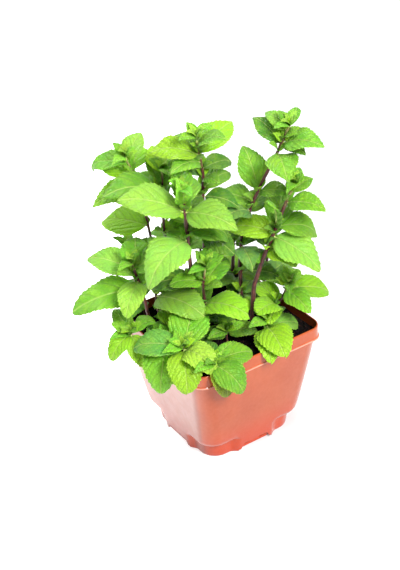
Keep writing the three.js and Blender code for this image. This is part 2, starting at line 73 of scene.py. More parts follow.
# ------------------------------------------------------------------ leaf and stem sizes
LEAF_WIDTH = 0.68           # blade width as a share of its length
LEAF_BOW = 0.1              # how far a blade arches above its chord, as a share of length
LEAF_FOLD = 0.2             # rise of each half blade per unit of width
LIGHT = (-0.22, -0.34, 1)   # leaves turn their upper faces this way
LEAF_GAP = 2.0              # least distance kept between blades
STEM_GAP = 4.2              # least distance kept from a blade to a stem's axis
STEM_STEP = 16              # distance between the rings of a stem's layout
AXIS_STEP = 3               # distance between the points of a stem that leaves are kept clear of
NODE_SPACING = 25           # distance between leaf pairs along a stem
NEAR_NODE = 8               # leaves of one stem may touch this close to their nodes
RIM_ROOM_INSIDE = 3         # a blade in the pot stays this far from the rim's outer face
RIM_ROOM = 2                # any blade stays this far outside it, above it or above the soil
GROWN_LENGTH = (38, 24)     # length and pitch of the growth rule's leaves, from soil to tip
GROWN_PITCH = (-16, 28)
PAIR_ROOM = 14              # none of them is grown this close to a listed leaf
AWAY = 57                   # the heading that the sparser side of each stem faces
GOLDEN_ANGLE = 137.5
SWING_STEP = 2.4
EDGE_ROOM = 0.35            # half width that a blade keeps at its foot and tip
PETIOLE_HALF = 0.75         # half the thickness of a leaf's stalk
BARE_PETIOLE = 0.35         # share of a leaf's stalk that the blade's foot leaves bare
FULLNESS = 1.06             # how much fuller a blade is drawn than its layout width
VEINS = 5                   # side veins along each half of a blade
LEAF_ROWS, LEAF_COLUMNS = 46, 16        # faces along and across a blade
PLAIN_BELOW = 12            # a leaf shorter than this is drawn more simply
PLAIN_DETAIL = 0.32         # share of the rows and columns that such a leaf has
LEAF_THICKNESS = 0.4
CURL_FROM = 0.62            # share of a blade beyond which its tip curls down
STALK_STEP = 4              # distance between the points of a drawn stalk
STALK_TAPER = 0.68          # thickness of a stalk at its tip, as a share of that at the soil
NODE_SWELL = 0.12           # how much thicker a stalk is at its leaf joints

# The pairs of leaves at a growing tip, the lowest first: turn, length, pitch and shade.
TIP_LEAVES = ((0, 18, 16, "c"), (0, 12, 48, "y"), (90, 9, 64, "y"), (0, 5, 76, "l"))
TIP_SPACING = 0.9           # distance from each pair to the next
TIP_NARROWING = 0.68        # how much narrower they are than other tiny leaves

# The leafy stems. path: points of the axis from the soil up. girth: half its thickness at the soil.
# leaves: [place along the path 0..1, heading, pitch, length, roll, breadth], in degrees and
# millimetres; heading 0 is +X, 90 is +Y. shades: a letter of SHADES for each of them. fill: which
# further leaf pairs the growth rule adds, and turn: the heading of the first of them.
STEMS = [
    dict(name="stem_tall_front", girth=1.7, turn=65, fill="away", shades="pppcpmd",
         path=[[-21, -3, 84], [-21, 2, 167], [-22, 2, 187], [-22, 3, 205]],
         leaves=[[.68, 155, 20, 48], [.68, 295, -2, 41], [.76, 45, 20, 30], [.76, 190, 65, 24],
                 [.34, 195, -20, 46], [.37, 345, -20, 34], [.20, 130, -8, 30]]),
    dict(name="stem_tall_centre", girth=1.5, turn=10, fill="all", shades="mlmldmddd",
         path=[[-1, 15, 84], [2, 15, 181], [3, 15, 205], [-1, 15, 234]],
         leaves=[[.83, 100, 10, 28], [.82, 155, 15, 34], [.76, 195, 30, 30], [.83, 15, 15, 38],
                 [.70, 0, -5, 26], [.58, 275, 10, 18], [.38, 300, -5, 28], [.38, 190, 5, 26],
                 [.24, 280, -5, 30]]),
    dict(name="stem_tall_right", girth=1.6, turn=20, fill="all", shades="dmmdmmmmbbbd",
         path=[[17, -7, 84], [22, 0, 144], [34, -3, 181], [50, -11, 217], [57, -15, 236]],
         leaves=[[.80, 100, 25, 30], [.81, 290, 10, 34], [.84, 0, 0, 20], [.80, 295, 0, 20],
                 [.74, 245, -10, 32, 0, 1.15], [.54, 82, 60, 34], [.53, 300, 25, 24],
                 [.48, 115, 0, 32], [.30, 140, 10, 26], [.32, 55, 30, 22],
                 [.26, 250, 0, 30], [.17, 315, 0, 28]]),
    dict(name="stem_leaning_right", girth=1.9, turn=40, fill="away", shades="mcmmplllbc",
         path=[[12, -25, 84], [18, -21, 123], [33, -26, 163], [42, -27, 182], [51, -28, 198]],
         leaves=[[.88, 0, 25, 20], [.79, 295, 5, 30], [.57, 45, 20, 34], [.56, 335, -20, 32],
                 [.49, 295, -10, 42], [.43, 340, -25, 26], [.42, 285, -5, 26], [.51, 115, 0, 34],
                 [.35, 95, 0, 24], [.55, 215, 66, 32, 0, .85]]),
    dict(name="stem_left", girth=1.6, turn=30, fill="away", shades="mppmpmm",
         path=[[-44, 22, 84], [-49, 22, 122], [-53, 22, 137], [-56, 23, 151]],
         leaves=[[.76, 55, 20, 34], [.80, 120, 5, 36], [.83, 315, 25, 28], [.73, 155, 30, 16],
                 [.58, 220, -15, 32], [.45, 160, -10, 52, 0, .8], [.50, 35, -5, 18]]),
    dict(name="stem_front_left", girth=1.4, turn=0, fill="none", shades="qmylcc",
         path=[[-42, -24, 84], [-47, -27, 95], [-50, -29, 105]],
         leaves=[[.90, 138, 0, 36], [.85, 40, 24, 38, 0, 1.2], [.80, 290, -24, 30, 0, 1.2],
                 [.80, 256, -36, 33, 0, 1.2], [.95, 160, 40, 12], [.95, 260, 45, 12]]),
    dict(name="stem_left_corner", girth=1.2, turn=0, fill="none", shades="cmm",
         path=[[-42, -6, 84], [-47, -8, 93], [-51, -10, 99]],
         leaves=[[.95, 225, -45, 38, 0, 1.2], [.85, 70, 10, 24], [.95, 165, -10, 20]]),
    dict(name="stem_front", girth=1.2, turn=0, fill="none", shades="momd",
         path=[[-30, -38, 84], [-34, -45, 94], [-40, -52, 97]],
         leaves=[[.95, 292, -32, 28, 0, 1.25], [.95, 262, -60, 25],
                 [.60, 355, -6, 30, 0, 1.1], [.80, 75, 20, 20]]),
    dict(name="stem_low_centre", girth=1.1, turn=0, fill="away", shades="dd",
         path=[[-8, -22, 84], [-9, -23, 92], [-9, -24, 98]],
         leaves=[[.80, 345, -10, 24], [.80, 165, 0, 20]]),
    dict(name="stem_middle", girth=1.4, turn=15, fill="away", shades="ccmmld",
         path=[[-14, -6, 84], [-17, -9, 120], [-18, -10, 133], [-15, -10, 148]],
         leaves=[[.62, 20, 15, 30], [.90, 30, 18, 25, 0, 1.1], [.70, 150, 5, 24],
                 [.59, 295, 20, 16], [.32, 285, 10, 40], [.16, 330, 5, 26]]),
    dict(name="stem_low_right", girth=1.4, turn=60, fill="none", shades="lmmylll",
         path=[[23, -24, 84], [32, -28, 104], [38, -29, 110], [43, -30, 121]],
         leaves=[[.84, 340, -15, 34], [.81, 270, -10, 28], [.88, 35, 10, 22], [.88, 80, 15, 30],
                 [.40, 200, 15, 27, 0, 1.2], [.30, 225, 0, 22], [.45, 95, 15, 26]]),
    dict(name="stem_front_right", girth=1.1, turn=0, fill="none", shades="lpl",
         path=[[21, -34, 84], [17, -36, 95], [18, -36, 102]],
         leaves=[[.60, 255, -5, 34, 0, 1.2], [.56, 5, -15, 28], [.45, 235, -10, 32]]),
    dict(name="stem_left_inner", girth=1.4, turn=75, fill="all", shades="plmcmd",
         path=[[-37, 14, 84], [-38, 18, 100], [-41, 20, 119], [-30, 22, 151]],
         leaves=[[.62, 300, 5, 44], [.45, 290, -20, 30], [.91, 85, 20, 30], [.89, 20, 5, 28],
                 [.70, 10, -5, 34], [.25, 225, -8, 28]]),
    dict(name="stem_over_left_rim", girth=1.1, turn=0, fill="none", shades="dmlym",
         path=[[-44, 31, 84], [-51, 27, 97], [-61, 18, 104], [-71, 7, 103]],
         leaves=[[.96, 95, 35, 22], [.96, 145, 25, 16], [.96, 195, -25, 24], [.96, 270, -35, 26],
                 [.66, 310, 10, 16]]),
    dict(name="stem_upper_left", girth=1.3, turn=30, fill="away", shades="mlml",
         path=[[-20, 40, 84], [-27, 44, 158], [-31, 51, 196], [-36, 54, 215]],
         leaves=[[.88, 120, -15, 33], [.75, 45, 10, 32], [.58, 175, 0, 36],
                 [.35, 120, -5, 39, 0, 1.15]]),
    dict(name="stem_upper_middle", girth=1.3, turn=70, fill="away", shades="mmmm",
         path=[[-20, 26, 84], [-19, 36, 158], [-17, 37, 188], [-16, 38, 205]],
         leaves=[[.67, 172, 12, 46], [.75, 60, 25, 34], [.71, 40, 30, 28], [.32, 200, 45, 14]]),
    dict(name="stem_back_left", girth=1.5, turn=50, fill="all", shades="",
         path=[[-36, 42, 84], [-38, 50, 112], [-39, 58, 140]], leaves=[]),
    dict(name="stem_back", girth=1.6, turn=20, fill="all", shades="",
         path=[[6, 40, 84], [10, 50, 124], [14, 57, 162]], leaves=[]),
    dict(name="stem_back_right", girth=1.6, turn=65, fill="all", shades="",
         path=[[32, 28, 84], [42, 38, 118], [50, 47, 150]], leaves=[]),
    dict(name="stem_right_rear", girth=1.5, turn=5, fill="all", shades="",
         path=[[42, 5, 84], [52, 10, 112], [60, 14, 138]], leaves=[]),
    dict(name="stem_back_low", girth=1.3, turn=35, fill="all", shades="",
         path=[[22, 45, 84], [26, 58, 106], [30, 70, 124]], leaves=[]),
]

# Leaf greens as display colours, and how strongly each kind is quilted between its veins.
SHADES = {
    "l": ((150, 206, 30), 0.8),     # lime, young and thin
    "y": ((162, 214, 62), 1.5),     # pale and young
    "p": ((138, 194, 66), 0.7),     # broad and pale: a painted soft sheen
    "m": ((108, 172, 36), 1.0),
    "c": ((112, 184, 40), 2.1),     # young and strongly crinkled
    "q": ((88, 160, 62), 2.2),      # crinkled, bluish
    "d": ((66, 126, 30), 1.0),      # dark: old leaves, and painted shade for leaves deep in the plant
    "b": ((80, 134, 66), 0.8),      # grey-green, in the shade
    "o": ((126, 146, 20), 0.7),     # olive, ageing
}


# ------------------------------------------------------------------ the plant's layout
def mix(a, b, share):
    return a + (b - a) * share


def scatter(k):
    """A number from 0 to 1 that looks random and is always the same for the same k."""
    value = math.sin(k * 12.9898) * 43758.5453
    return value - math.floor(value)


def unit(v):
    return v / np.linalg.norm(v)


def path_point(path, place):
    """A point of a smooth curve that runs through all the points of a path."""
    spans = len(path) - 1
    along = min(place * spans, spans - 1e-9)
    i = math.floor(along)
    f = along - i
    before, start = np.array(path[max(i - 1, 0)], float), np.array(path[i], float)
    end, after = np.array(path[i + 1], float), np.array(path[min(i + 2, spans)], float)
    return 0.5 * (2 * start + (end - before) * f
                  + (2 * before - 5 * start + 4 * end - after) * f * f
                  + (3 * start - before - 3 * end + after) * f * f * f)


def path_length(path):
    points = [path_point(path, i / 24) for i in range(25)]
    return sum(float(np.linalg.norm(b - a)) for a, b in zip(points, points[1:]))


def round_half_up(value):
    return math.floor(value + 0.5)


def stem_point(stem, place):
    """A point of a stem's axis: straight from one ring of its layout to the next."""
    steps = stem["steps"]
    along = min(place * steps, steps - 1e-9)
    low, high = stem["rings"][math.floor(along)], stem["rings"][math.floor(along) + 1]
    return low + (high - low) * (along - math.floor(along))


def prepare_stems():
    for number, stem in enumerate(STEMS):
        stem["number"] = number
        stem["length"] = path_length(stem["path"])
        stem["steps"] = max(3, round_half_up(stem["length"] / STEM_STEP))
        stem["rings"] = [path_point(stem["path"], i / stem["steps"])
                         for i in range(stem["steps"] + 1)]
        count = math.ceil(stem["length"] / AXIS_STEP)
        stem["axis"] = np.array([stem_point(stem, i / count) for i in range(count + 1)])


def make_leaf(stem, place, heading, pitch, length, roll=0, breadth=1):
    petiole = 1.5 + 0.11 * length
    blade = length - petiole
    leaf = dict(stem=stem, base=stem_point(stem, place), roll=roll, petiole=petiole, blade=blade,
                length=length, bow=length * LEAF_BOW * (2 if pitch < -18 else 1),
                half=blade * LEAF_WIDTH * breadth / 2)
    return aim_leaf(leaf, heading, pitch)


def aim_leaf(leaf, heading, pitch):
    """The leaf with a heading, a pitch and the frame they give it: along its length, across it, and
    up out of its face, which is turned to the light."""
    h, p, r = (math.radians(a) for a in (heading, pitch, leaf["roll"]))
    along = np.array([math.cos(h) * math.cos(p), math.sin(h) * math.cos(p), math.sin(p)])
    light = np.array(LIGHT if leaf["stem"]["leaves"] else (0, 0, 1), float)
    level = unit(np.cross(light, along))
    across = level * math.cos(r) + np.cross(along, level) * math.sin(r)
    return dict(leaf, heading=heading, pitch=pitch, along=along, across=across,
                up=np.cross(along, across))


def half_width(half, q):
    """Half the width of a blade at the share q of the way to its tip."""
    share = np.clip(q, 0, 1)
    return half * np.power(np.maximum(np.sin(np.pi * np.power(share, 0.76)), 0), 0.92)


SAMPLE_PLACES = [0, 0.14, 0.28, 0.42, 0.56, 0.7, 0.84, 1]
SAMPLE_SIDES = [-1, -0.67, -0.33, 0, 0.33, 0.67, 1]
SAMPLE_Q = np.repeat(SAMPLE_PLACES, len(SAMPLE_SIDES))
SAMPLE_SIDE = np.tile(SAMPLE_SIDES, len(SAMPLE_PLACES))


def leaf_samples(leaf):
    """Points of a leaf that are tested for touching: one on its stalk, the rest on its blade."""
    y = SAMPLE_SIDE * half_width(leaf["half"], SAMPLE_Q)
    height = leaf["bow"] * 4 * SAMPLE_Q * (1 - SAMPLE_Q) + LEAF_FOLD * np.abs(y)
    blade = (leaf["base"] + np.outer(leaf["petiole"] + SAMPLE_Q * leaf["blade"], leaf["along"])
             + np.outer(y, leaf["across"]) + np.outer(height, leaf["up"]))
    return np.vstack([leaf["base"] + leaf["along"] * leaf["petiole"] * 0.5, blade])


def near_leaf(frames, points):
    """True for each point that lies within LEAF_GAP of the leaf whose frame goes with it."""
    offset = points - frames["base"]
    x = (offset * frames["along"]).sum(-1)
    y = (offset * frames["across"]).sum(-1)
    z = (offset * frames["up"]).sum(-1)
    q = (x - frames["petiole"]) / frames["blade"]
    inside = (x >= 0) & (q <= 1 + LEAF_GAP / frames["blade"])
    reach = np.where(q < 0, 0, half_width(frames["half"], q)) + LEAF_GAP
    top = np.minimum(q, 1)
    surface = np.where(q < 0, 0, frames["bow"] * 4 * top * (1 - top) + LEAF_FOLD * np.abs(y))
    return inside & (np.abs(y) <= reach) & (np.abs(z - surface) < LEAF_GAP)


def near_rim(p):
    """True for each point that lies too close to the rim or the soil."""
    out = np.maximum(np.abs(p[:, 0]), np.abs(p[:, 1]))
    height = p[:, 2]
    in_rim = ((out > RIM_HALF - RIM_ROOM_INSIDE) & (out < RIM_HALF + RIM_ROOM)
              & (height < POT_HEIGHT + RIM_ROOM))
    return in_rim | ((out < RIM_HALF) & (height < SOIL_TOP + SOIL_LUMPS + RIM_ROOM))


class Placed:
    """The leaves placed so far, kept as arrays so that a new one is tested against all at once."""
    KEYS = ("base", "along", "across", "up", "petiole", "blade", "half", "bow", "length")

    def __init__(self):
        self.leaves = []
        self.arrays = {}

    def add(self, leaf):
        leaf["samples"] = leaf_samples(leaf)
        leaf["far"] = np.linalg.norm(leaf["samples"] - leaf["base"], axis=1)
        self.leaves.append(leaf)
        for key in self.KEYS + ("samples", "far"):
            self.arrays[key] = np.array([other[key] for other in self.leaves])
        self.arrays["stem"] = np.array([other["stem"]["number"] for other in self.leaves])

    def touches(self, leaf, samples, far):
        if not self.leaves:
            return False
        arrays = self.arrays
        apart = np.linalg.norm(arrays["base"] - leaf["base"], axis=1)
        close = np.nonzero(apart <= arrays["length"] + leaf["length"] + 2 * LEAF_GAP)[0]
        if not len(close):
            return False
        same = arrays["stem"][close] == leaf["stem"]["number"]
        frames = {key: arrays[key][close][:, None] for key in self.KEYS}
        mine = near_leaf(frames, samples[None])
        if (mine & ~(same[:, None] & (far <= NEAR_NODE)[None])).any():
            return True
        theirs = near_leaf(leaf, arrays["samples"][close])
        return bool((theirs & ~(same[:, None] & (arrays["far"][close] <= NEAR_NODE))).any())


def is_clear(leaf, placed, axes, owners):
    """True where a leaf stays clear of the pot, the other stems and the leaves placed so far."""
    samples = leaf_samples(leaf)
    far = np.linalg.norm(samples - leaf["base"], axis=1)
    if near_rim(samples[far > NEAR_NODE]).any():
        return False
    near = ((samples[:, None] - axes[None]) ** 2).sum(-1) < STEM_GAP ** 2
    own = owners[None] == leaf["stem"]["number"]
    if (near & ~(own & (far <= NEAR_NODE)[:, None])).any():
        return False
    return not placed.touches(leaf, samples, far)


def bend_clear(leaf, placed, tries, axes, owners):
    """Turns a leaf about its own node, a little further each time, until it is clear."""
    for i in range(tries):
        swing = SWING_STEP * math.sqrt(i)
        turn = math.radians(i * GOLDEN_ANGLE)
        bent = aim_leaf(leaf, leaf["heading"] + swing * math.cos(turn),
                        leaf["pitch"] + swing * math.sin(turn))
        if is_clear(bent, placed, axes, owners):
            return bent
    return None


def growth_rule(stem):
    """A pair of leaves at each node, each pair a quarter turn on from the last, where there isn't
    one listed already."""
    rows = []
    if stem["fill"] == "none":
        return rows
    count = round_half_up(stem["length"] / NODE_SPACING)
    for k in range(count):
        place = (k + 0.7) / (count + 0.2)
        for half in (0, 180):
            seed = stem["number"] * 31 + k * 7 + half
            heading = stem["turn"] + 90 * k + half + 24 * (scatter(seed) - 0.5)
            if stem["fill"] == "away" and math.cos(math.radians(heading - AWAY)) <= 0.1:
                continue
            if any(abs(row[0] - place) * stem["length"] < PAIR_ROOM
                   and math.cos(math.radians(row[1] - heading)) > 0.4 for row in stem["leaves"]):
                continue
            size = mix(*GROWN_LENGTH, place) * mix(0.85, 1.1, scatter(seed + 1))
            pitch = mix(*GROWN_PITCH, place) + 14 * (scatter(seed + 2) - 0.5)
            rows.append([place, heading, pitch, size])
    return rows


def bud_rule(stem):
    """A pair of small leaves folded up round each growing tip."""
    return [[0.98, stem["turn"] + 90, 50, 13], [0.98, stem["turn"] - 90, 55, 11]]


def place_leaves():
    """All the leaves, each bent clear of those before it: the listed ones, then the tips, then the
    growth rule's. A leaf that finds no room isn't grown."""
    prepare_stems()
    axes = np.vstack([stem["axis"] for stem in STEMS])
    owners = np.concatenate([[stem["number"]] * len(stem["axis"]) for stem in STEMS])
    placed = Placed()
    rules = (("by hand", lambda stem: stem["leaves"], 120), ("bud", bud_rule, 60),
             ("grown", growth_rule, 60))
    for kind, rule, tries in rules:
        for stem in STEMS:
            for number, row in enumerate(rule(stem)):
                leaf = bend_clear(make_leaf(stem, *row), placed, tries, axes, owners)
                if leaf is None:
                    continue
                leaf["kind"] = kind
                leaf["shade"] = stem["shades"][number] if kind == "by hand" else None
                leaf["seed"] = scatter(len(placed.leaves) * 3 + 11)
                placed.add(leaf)
    return placed.leaves


# ------------------------------------------------------------------ node helpers
def plug(tree, value, slot):
    """Links a Term or a socket to a slot, or sets a plain value on it."""
    if isinstance(value, Term):
        value = value.socket
    if isinstance(value, bpy.types.NodeSocket):
        tree.links.new(value, slot)
    else:
        slot.default_value = value


def enabled(sockets):
    return [socket for socket in sockets if socket.enabled]


class Term:
    """A number in a node tree, written as ordinary arithmetic."""

    def __init__(self, tree, socket):
        self.tree = tree
        self.socket = socket

    def run(self, operation, *others):
        made = self.tree.nodes.new("ShaderNodeMath")
        made.operation = operation
        for slot, value in zip(made.inputs, (self,) + others):
            plug(self.tree, value, slot)
        return Term(self.tree, made.outputs[0])

    def __add__(self, other): return self.run("ADD", other)
    def __sub__(self, other): return self.run("SUBTRACT", other)
    def __rsub__(self, other): return self.run("MULTIPLY", -1).run("ADD", other)
    def __mul__(self, other): return self.run("MULTIPLY", other)
    def __truediv__(self, other): return self.run("DIVIDE", other)
    def __abs__(self): return self.run("ABSOLUTE")
    def __pow__(self, other): return self.run("POWER", other)
    def sin(self): return self.run("SINE")
    def fraction(self): return self.run("FRACT")
    def at_least(self, other): return self.run("MAXIMUM", other)
    def over(self, other): return self.run("GREATER_THAN", other)

    def ramp(self, low, high, start=0.0, end=1.0):
        """Goes smoothly from start to end as this number goes from low to high."""
        made = self.tree.nodes.new("ShaderNodeMapRange")
        made.interpolation_type = "SMOOTHSTEP"
        for slot, value in zip(made.inputs, (self, low, high, start, end)):
            plug(self.tree, value, slot)
        return Term(self.tree, made.outputs[0])


def node(tree, kind, inputs=(), **settings):
    made = tree.nodes.new(kind)
    for key, value in settings.items():
        setattr(made, key, value)
    for key, value in dict(inputs).items():
        plug(tree, value, made.inputs[key])
    return made


def linear(colour):
    """A display colour, 0 to 255, as the light it stands for."""
    return tuple(((c / 255 + 0.055) / 1.055) ** 2.4 if c > 10 else c / 255 / 12.92 for c in colour)


def scaled(tree, vector, factor):
    return node(tree, "ShaderNodeVectorMath", {0: vector, "Scale": factor},
                operation="SCALE").outputs[0]


def added(tree, *vectors):
    total = vectors[0]
    for vector in vectors[1:]:
        total = node(tree, "ShaderNodeVectorMath", {0: total, 1: vector}).outputs[0]
    return total


# ------------------------------------------------------------------ materials
def new_material(name):
    material = bpy.data.materials.new(name)
    material.use_nodes = True
    tree = material.node_tree
    tree.nodes.clear()
    return material, tree


def finish_material(tree, shader):
    out = tree.nodes.new("ShaderNodeOutputMaterial")
    tree.links.new(shader, out.inputs["Surface"])


def noise(tree, vector, scale, detail=3, rough=0.5):
    made = node(tree, "ShaderNodeTexNoise",
                {"Vector": vector, "Scale": scale, "Detail": detail, "Roughness": rough})
    return Term(tree, made.outputs[0])


def blend_colour(tree, factor, low, high):
    made = node(tree, "ShaderNodeMix", data_type="RGBA")
    for slot, value in zip(enabled(made.inputs), (factor, low, high)):
        plug(tree, (*value, 1) if isinstance(value, tuple) else value, slot)
    return enabled(made.outputs)[0]


def attribute(tree, name):
    return node(tree, "ShaderNodeAttribute", attribute_name=name)


def vein_lane(q, spread):
    """Counts up by one from each side vein to the next. q is the share of the way to the tip and
    spread the distance from the midrib over blade length, so that the veins sweep forward."""
    return (q - spread * 0.9 - spread * spread * 2.2) * VEINS


def leaf_material():
    material, tree = new_material("mint_leaf")
    place = node(tree, "ShaderNodeSeparateXYZ", {0: attribute(tree, "place").outputs["Vector"]})
    q, side = Term(tree, place.outputs[0]), Term(tree, place.outputs[1])
    spread = Term(tree, place.outputs[2])
    tone = attribute(tree, "tone").outputs["Color"]
    under = Term(tree, attribute(tree, "under").outputs["Fac"])
    where = node(tree, "ShaderNodeTexCoord").outputs["Object"]

    off_vein = abs(vein_lane(q, spread).fraction() - 0.5) * 2   # 0 half way between, 1 on a vein
    fade = spread.ramp(0.30, 0.42, 1, 0)
    vein = off_vein.ramp(0.80, 0.99) * abs(side).ramp(0.75, 1.0, 1, 0.3) * fade
    midrib = spread.ramp(0.006, 0.02, 1, 0)
    web = node(tree, "ShaderNodeTexVoronoi", {"Vector": where, "Scale": 650},
               feature="DISTANCE_TO_EDGE")
    net = Term(tree, web.outputs["Distance"]).ramp(0.0, 0.12, 1, 0)

    blotch = noise(tree, where, 120, 4, 0.6)
    fine = noise(tree, where, 900, 2)
    sunny = blend_colour(tree, 0.35, tone, linear((190, 222, 60)))
    shade = blend_colour(tree, blotch.ramp(0.35, 0.7), tone, sunny)
    dark = blend_colour(tree, 0.55, tone, linear((22, 62, 8)))
    rugged = Term(tree, attribute(tree, "quilt").outputs["Fac"]).ramp(0.0001, 0.0009, 0.35, 1.3)
    # painted shade: darker along the sunken side veins, more on quilted leaves, less at the margin
    crease_shade = off_vein.ramp(0.7, 0.98, 0, 0.58) * blotch.ramp(0.3, 0.6, 0.3, 1)
    crease_shade = crease_shade * abs(side).ramp(0.9, 1.0, 1, 0.4) * rugged
    shade = blend_colour(tree, crease_shade, shade, dark)
    shade = blend_colour(tree, fine.ramp(0.35, 0.7, 0, 0.3), shade, dark)
    shade = blend_colour(tree, net * 0.3, shade, dark)
    shade = blend_colour(tree, vein * 0.12 + midrib * 0.55, shade, linear((196, 222, 110)))
    # painted highlight: the margin of each blade is lighter
    edge = abs(side).ramp(0.94, 1.0, 0, 0.3)
    shade = blend_colour(tree, edge, shade, linear((186, 214, 80)))
    pale = blend_colour(tree, 0.4, shade, linear((168, 200, 120)))
    colour = blend_colour(tree, under, shade, pale)
    glow = blend_colour(tree, 0.45, colour, linear((180, 228, 8)))

    height = (1 - off_vein * off_vein) * 0.5 - net * 0.3 + fine * 0.3 - midrib * 0.5
    bump = node(tree, "ShaderNodeBump", {"Height": height, "Distance": 0.0013, "Strength": 0.85})
    gloss = noise(tree, where, 300, 3).ramp(0.3, 0.7, 0.38, 0.52)
    skin = node(tree, "ShaderNodeBsdfPrincipled",
                {"Base Color": colour, "Roughness": gloss, "Normal": bump.outputs[0],
                 "Specular IOR Level": 0.45, "Sheen Weight": 0.06, "Sheen Roughness": 0.4})
    through = node(tree, "ShaderNodeBsdfTranslucent",
                   {"Color": glow, "Normal": bump.outputs[0]})
    both = node(tree, "ShaderNodeMixShader", {0: 0.4, 1: skin.outputs[0], 2: through.outputs[0]})
    finish_material(tree, both.outputs[0])
    return material


def stalk_material():
    material, tree = new_material("mint_stalk")
    where = node(tree, "ShaderNodeTexCoord").outputs["Object"]
    green = Term(tree, attribute(tree, "greenness").outputs["Fac"])
    stretched = node(tree, "ShaderNodeMapping", {0: where, "Scale": (1, 1, 0.25)}).outputs[0]
    streak = noise(tree, stretched, 1400, 3)
    patch = noise(tree, where, 260, 3)
    purple = blend_colour(tree, streak.ramp(0.3, 0.7), linear((42, 10, 9)), linear((98, 36, 30)))
    fresh = blend_colour(tree, streak.ramp(0.3, 0.7), linear((150, 176, 70)),
                         linear((196, 212, 120)))
    colour = blend_colour(tree, (green + patch * 0.3 - 0.15).ramp(0.25, 0.75), purple, fresh)
    bump = node(tree, "ShaderNodeBump", {"Height": streak, "Distance": 0.0003, "Strength": 0.5})
    skin = node(tree, "ShaderNodeBsdfPrincipled",
                {"Base Color": colour, "Roughness": patch.ramp(0.3, 0.7, 0.38, 0.6),
                 "Normal": bump.outputs[0], "Sheen Weight": 0.15})
    finish_material(tree, skin.outputs[0])
    return material


def plastic_material():
    material, tree = new_material("terracotta_plastic")
    where = node(tree, "ShaderNodeTexCoord").outputs["Object"]
    cloud = noise(tree, where, 26, 4, 0.6)
    grain = noise(tree, where, 420, 3)
    low = Term(tree, node(tree, "ShaderNodeSeparateXYZ", {0: where}).outputs[2])
    base = blend_colour(tree, cloud.ramp(0.3, 0.7), linear((148, 60, 20)), linear((158, 70, 30)))
    base = blend_colour(tree, grain.ramp(0.35, 0.75, 0, 0.08), base, linear((196, 100, 72)))
    # painted shade: a deeper, more saturated orange towards the ground, over the shaded feet
    base = blend_colour(tree, low.ramp(0.0, 0.04, 0.7, 0.0), base, linear((182, 50, 6)))
    painted_bead_highlight = abs(low - (SEAM + BEAD_RISE) * MM).ramp(0.0003, 0.0008, 0.4, 0)     # the bead's crest, painted paler as a highlight
    base = blend_colour(tree, painted_bead_highlight, base, linear((250, 178, 158)))
    facing = node(tree, "ShaderNodeTexCoord").outputs["Normal"]
    shaded_left_side = Term(tree, node(tree, "ShaderNodeSeparateXYZ", {0: facing}).outputs[0]) * -1   # how far the wall faces -X
    # painted shade: the wall facing -X is darkened, as the side turned from the light
    base = blend_colour(tree, shaded_left_side.ramp(0.85, 0.97, 0, 0.38), base, linear((96, 36, 20)))
    scuff = noise(tree, where, 95, 5, 0.7)
    gloss = scuff.ramp(0.35, 0.7, 0.36, 0.5)
    bump = node(tree, "ShaderNodeBump", {"Height": grain + scuff, "Distance": 0.0002,
                                         "Strength": 0.25})
    skin = node(tree, "ShaderNodeBsdfPrincipled",
                {"Base Color": base, "Roughness": gloss, "Normal": bump.outputs[0],
                 "Specular IOR Level": 0.15,
                 "Coat Weight": 1.0, "Coat Roughness": 0.15, "Coat IOR": 1.45})
    finish_material(tree, skin.outputs[0])
    return material


def soil_material():
    material, tree = new_material("peat_soil")
    where = node(tree, "ShaderNodeTexCoord").outputs["Object"]
    clump = noise(tree, where, 180, 5, 0.65)
    speck = noise(tree, where, 900, 3, 0.6)
    base = blend_colour(tree, clump.ramp(0.35, 0.7), linear((1, 0, 1)), linear((12, 6, 6)))
    base = blend_colour(tree, speck.ramp(0.58, 0.7, 0, 0.7), base, linear((84, 44, 38)))
    bump = node(tree, "ShaderNodeBump", {"Height": clump + speck * 0.5, "Distance": 0.0012,
                                         "Strength": 0.9})
    skin = node(tree, "ShaderNodeBsdfPrincipled",
                {"Base Color": base, "Roughness": speck.ramp(0.3, 0.7, 0.7, 0.95),
                 "Normal": bump.outputs[0], "Specular IOR Level": 0.12})
    finish_material(tree, skin.outputs[0])
    return material


# ------------------------------------------------------------------ the growing rule, as node trees
def new_tree(name, inputs):
    """An empty tree with the inputs given by name and type, the keys of those inputs, and the nodes
    that its inputs come from and its geometry goes to."""
    tree = bpy.data.node_groups.new(name, "GeometryNodeTree")
    tree.is_modifier = True
    keys = {}
    for label, kind in inputs.items():
        socket = tree.interface.new_socket(label, in_out="INPUT", socket_type=kind)
        keys[label] = socket.identifier
    tree.interface.new_socket("Geometry", in_out="OUTPUT", socket_type="NodeSocketGeometry")
    entry = tree.nodes.new("NodeGroupInput")
    leave = tree.nodes.new("NodeGroupOutput")
    return tree, keys, entry, leave


def named(tree, name, kind="FLOAT"):
    made = node(tree, "GeometryNodeInputNamedAttribute", {"Name": name}, data_type=kind)
    return enabled(made.outputs)[0]


def stored(tree, geometry, name, value, kind="FLOAT", domain="POINT"):
    made = node(tree, "GeometryNodeStoreNamedAttribute", {"Geometry": geometry, "Name": name},
                data_type=kind, domain=domain)
    plug(tree, value, next(slot for slot in enabled(made.inputs) if slot.name == "Value"))
    return made.outputs[0]


def joined(tree, *geometries):
    """Several geometries as one."""
    made = tree.nodes.new("GeometryNodeJoinGeometry")
    for geometry in geometries:
        tree.links.new(geometry, made.inputs[0])
    return made.outputs[0]


